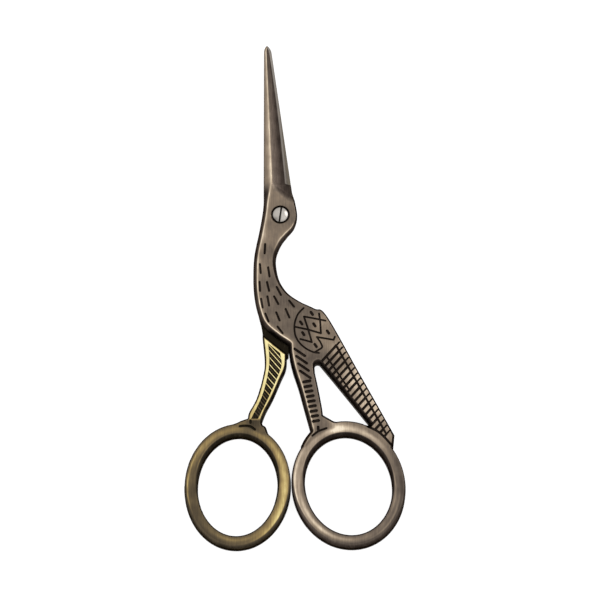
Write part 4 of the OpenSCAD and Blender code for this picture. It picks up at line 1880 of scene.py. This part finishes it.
    def build(self, material: bpy.types.Material) -> bpy.types.Object:
        """Makes the ribs.

        Args:
            material: The ribs' material.

        Returns:
            Their object.
        """
        line, reach = self.path()
        height = TOTAL_T - self.rear.panel_deep + self.lift
        mesh = bpy.data.meshes.new("leg_panel_path")
        places = [(x * MM, y * MM, height * MM) for x, y in line]
        mesh.from_pydata(places, [(i, i + 1) for i in range(len(line) - 1)], [])
        for name, kept in (("reach", reach * MM), ("shine", self.SHINE.at(line[:, 1]))):
            layer = mesh.attributes.new(name, "FLOAT", "POINT")
            layer.data.foreach_set("value", kept.astype(np.float32))
        guide = bpy.data.objects.new("leg_panel_path", mesh)
        bpy.context.scene.collection.objects.link(guide)
        modifier = guide.modifiers.new("ribs", "NODES")
        modifier.node_group = self.tree(material)
        values = {"Pitch": self.pitch * MM / 2, "Rib radius": self.rib_r * MM,
                  "Lean": math.radians(self.lean)}
        for item in modifier.node_group.interface.items_tree:
            if item.in_out == "INPUT" and item.name in values:
                modifier[item.identifier] = values[item.name]
        made = bpy.data.meshes.new_from_object(guide.evaluated_get(bpy.context.evaluated_depsgraph_get()))
        guide.modifiers.clear()
        bpy.data.objects.remove(guide)
        made.name = "rear_leg_ribs"
        made.shade_smooth()
        obj = bpy.data.objects.new("rear_leg_ribs", made)
        bpy.context.scene.collection.objects.link(obj)
        return obj


@dataclass
class PivotScrew:
    """Slotted screw with a domed head, a plain shank and a threaded end."""

    head_r: float = 1.75
    shank_r: float = 1.2
    thread_r: float = 0.95
    seat: float = 2.70
    side_h: float = 0.45
    dome_h: float = 0.35
    slot_w: float = 0.4
    slot_z: float = 2.95
    slot_turn: float = 8.0
    rim: float = 0.13
    end_r: float = 0.82
    end_z: float = 0.02

    # Brightness of the head by the distance from its middle
    TONE = Ramp((0, 1.4, 1.65, 1.75), (0.86, 0.80, 0.5, 0.2))
    # Painted shade at the lower left of the head's rim, and a painted highlight right of its middle
    LOWER_LEFT_SHADE = PaintedPatch(-1.2, -1.1, 0.6, 0.5)
    SHEEN = PaintedPatch(0.9, -0.8, 0.7, 0.14)
    # Painted shade in the slot
    SLOT_SHADE = 0.04
    END_TONE = 0.35

    def build(self) -> bpy.types.Object:
        """Makes the screw.

        Returns:
            Its object.
        """
        pattern = Forging("pivot_screw_head")
        for radius in (self.head_r, self.head_r - 0.05, self.head_r - self.rim, 1.45,
                       self.shank_r + STEP, self.shank_r - STEP, self.thread_r + STEP, self.thread_r - STEP,
                       self.end_r, 0.5, 0.25):
            pattern.line(pattern.circle(radius, 96), True)
        pattern.border = [pattern.circle(self.head_r, 96)]
        way = turned(xy(0, 1), -self.slot_turn)
        side = xy(way[1], -way[0])
        for off in (-self.slot_w / 2, self.slot_w / 2):
            for near in (-STEP, STEP, 0.04 * np.sign(off)):
                at = side * (off + near)
                pattern.line(joined(at - 2.5 * way, at, at + 2.5 * way))
        flat, triangles = pattern.faces(0.0)
        away = np.hypot(flat[:, 0], flat[:, 1])
        crown_r = (self.head_r**2 + self.dome_h**2) / (2 * self.dome_h)
        top = self.seat + self.side_h + self.dome_h - crown_r + np.sqrt(crown_r**2 - away**2)
        top = top - 0.09 * np.clip((away - self.head_r + self.rim) / self.rim, 0, 1) ** 2
        across = np.abs(flat @ side)
        in_slot = across < self.slot_w / 2
        top = top - 0.03 * np.clip((self.slot_w / 2 + 0.04 - across) / 0.04, 0, 1)
        top = np.where(in_slot, self.slot_z, top)
        point = self.end_z + 0.12 * np.clip((away - self.end_r) / (self.thread_r - self.end_r), 0, 1)
        bottom = np.where(away > self.shank_r, self.seat, np.where(away > self.thread_r, LAYER_T, point))
        tone = self.TONE.at(away) - self.LOWER_LEFT_SHADE.at(flat) + self.SHEEN.at(flat)
        tone = np.where(in_slot, self.SLOT_SHADE, tone)
        none = np.zeros(len(flat))
        return pattern.solid(flat, triangles, top, bottom,
                             {"tone": (tone, none + self.END_TONE), "ground": (none, none)})


# Stage, light and camera


@dataclass(frozen=True)
class Studio:
    """Plain white surroundings with soft light, seen from the photograph's angle."""

    target: tuple = (4.34, -19.14, 1.6)
    tilt: float = 14.5
    distance: float = 900.0
    lens: float = 244.9
    sky: float = 0.75
    floor_reach: float = 3000.0
    floor_z: float = -0.03
    floor_tone: float = 0.42
    floor_glow: float = 0.86
    key_at: tuple = (520, 300, 560)
    key_power: float = 1.1
    fill_at: tuple = (-480, -300, 560)
    fill_power: float = 0.5
    lamp_size: float = 380.0

    def world(self) -> None:
        """White background for the camera and for reflections, and plain light for the rest."""
        world = bpy.data.worlds.new("studio")
        bpy.context.scene.world = world
        world.use_nodes = True
        tree = world.node_tree
        tree.nodes.clear()
        make = tree.nodes.new
        link = tree.links.new
        out = make("ShaderNodeOutputWorld")
        shown = make("ShaderNodeBackground")
        soft = make("ShaderNodeBackground")
        blend = make("ShaderNodeMixShader")
        rays = make("ShaderNodeLightPath")
        most = make("ShaderNodeMath")
        more = make("ShaderNodeMath")
        shown.inputs["Color"].default_value = (1, 1, 1, 1)
        shown.inputs["Strength"].default_value = 1.0
        soft.inputs["Color"].default_value = (1, 1, 1, 1)
        soft.inputs["Strength"].default_value = self.sky
        most.operation = "MAXIMUM"
        more.operation = "MAXIMUM"
        link(rays.outputs["Is Camera Ray"], most.inputs[0])
        link(rays.outputs["Is Glossy Ray"], most.inputs[1])
        link(most.outputs[0], more.inputs[0])
        link(rays.outputs["Is Transmission Ray"], more.inputs[1])
        link(more.outputs[0], blend.inputs[0])
        link(soft.outputs[0], blend.inputs[1])
        link(shown.outputs[0], blend.inputs[2])
        link(blend.outputs[0], out.inputs["Surface"])

    def floor(self) -> bpy.types.Object:
        """Pale floor under the scissors.

        Returns:
            Its object.
        """
        mesh = bpy.data.meshes.new("floor")
        reach = self.floor_reach * MM
        corners = [(-reach, -reach), (reach, -reach), (reach, reach), (-reach, reach)]
        mesh.from_pydata([(x, y, self.floor_z * MM) for x, y in corners], [], [(0, 1, 2, 3)])
        obj = bpy.data.objects.new("floor", mesh)
        bpy.context.scene.collection.objects.link(obj)
        mat = bpy.data.materials.new("pale_floor")
        mat.use_nodes = True
        tree = mat.node_tree
        tree.nodes.clear()
        make = tree.nodes.new
        link = tree.links.new
        out = make("ShaderNodeOutputMaterial")
        paint = make("ShaderNodeBsdfDiffuse")
        glow = make("ShaderNodeEmission")
        total = make("ShaderNodeAddShader")
        rays = make("ShaderNodeLightPath")
        most = make("ShaderNodeMath")
        level = make("ShaderNodeMath")
        paint.inputs["Color"].default_value = (self.floor_tone, self.floor_tone, self.floor_tone, 1)
        most.operation = "MAXIMUM"
        level.operation = "MULTIPLY"
        level.inputs[1].default_value = self.floor_glow
        link(rays.outputs["Is Camera Ray"], most.inputs[0])
        link(rays.outputs["Is Glossy Ray"], most.inputs[1])
        link(most.outputs[0], level.inputs[0])
        link(level.outputs[0], glow.inputs["Strength"])
        link(paint.outputs[0], total.inputs[0])
        link(glow.outputs[0], total.inputs[1])
        link(total.outputs[0], out.inputs["Surface"])
        mesh.materials.append(mat)
        return obj

    def lamps(self) -> None:
        """Soft key light from the upper right and a weaker fill from the lower left."""
        lamps = (("key", self.key_at, self.key_power), ("fill", self.fill_at, self.fill_power))
        for name, place, power in lamps:
            light = bpy.data.lights.new(name, "AREA")
            light.energy = power
            light.size = self.lamp_size * MM
            obj = bpy.data.objects.new(name, light)
            obj.location = Vector(place) * MM
            aim = Vector(self.target) * MM - obj.location
            obj.rotation_euler = aim.to_track_quat("-Z", "Y").to_euler()
            bpy.context.scene.collection.objects.link(obj)

    def camera(self) -> None:
        """Camera above the scissors, tilted towards their rings."""
        data = bpy.data.cameras.new("camera")
        data.lens = self.lens
        data.sensor_width = 36.0
        data.clip_start = 0.05
        data.clip_end = 20.0
        obj = bpy.data.objects.new("camera", data)
        tilt = math.radians(self.tilt)
        back = Vector((0, -math.sin(tilt), math.cos(tilt))) * self.distance
        obj.location = (Vector(self.target) + back) * MM
        obj.rotation_euler = (tilt, 0, 0)
        bpy.context.scene.collection.objects.link(obj)
        bpy.context.scene.camera = obj

    def build(self) -> None:
        """Sets up everything around the scissors."""
        self.world()
        self.floor()
        self.lamps()
        self.camera()
        bpy.context.scene.view_settings.view_transform = "Standard"


def main() -> None:
    """Builds the scissors piece by piece and reports each."""
    logging.basicConfig(level=logging.INFO, format="%(name)s: %(message)s")
    blade = Blade()
    bronze = BRONZE.material()
    brass = BRASS.material()
    front = FrontHalf(blade, Ring(hole_w=18.8, hole_l=22.1, lean=13.0, meet=2.46, side=1, low=61.2))
    dress(front.build(), Body.FRONT, Slot.BRONZED, bronze, "front_half")
    rear = RearHalf(blade, Ring(hole_w=17.3, hole_l=22.0, lean=-4.0, meet=2.38, side=-1, low=61.4))
    dress(rear.build(), Body.REAR, Slot.BRASSED, brass, "rear_half")
    dress(LegRibs(rear).build(brass), Body.REAR, Slot.BRASSED, brass)
    dress(PivotScrew().build(), Body.REAR, Slot.BRIGHT, PolishedSteel().material(), "pivot_screw")
    Studio().build()


if __name__ == "__main__":
    main()
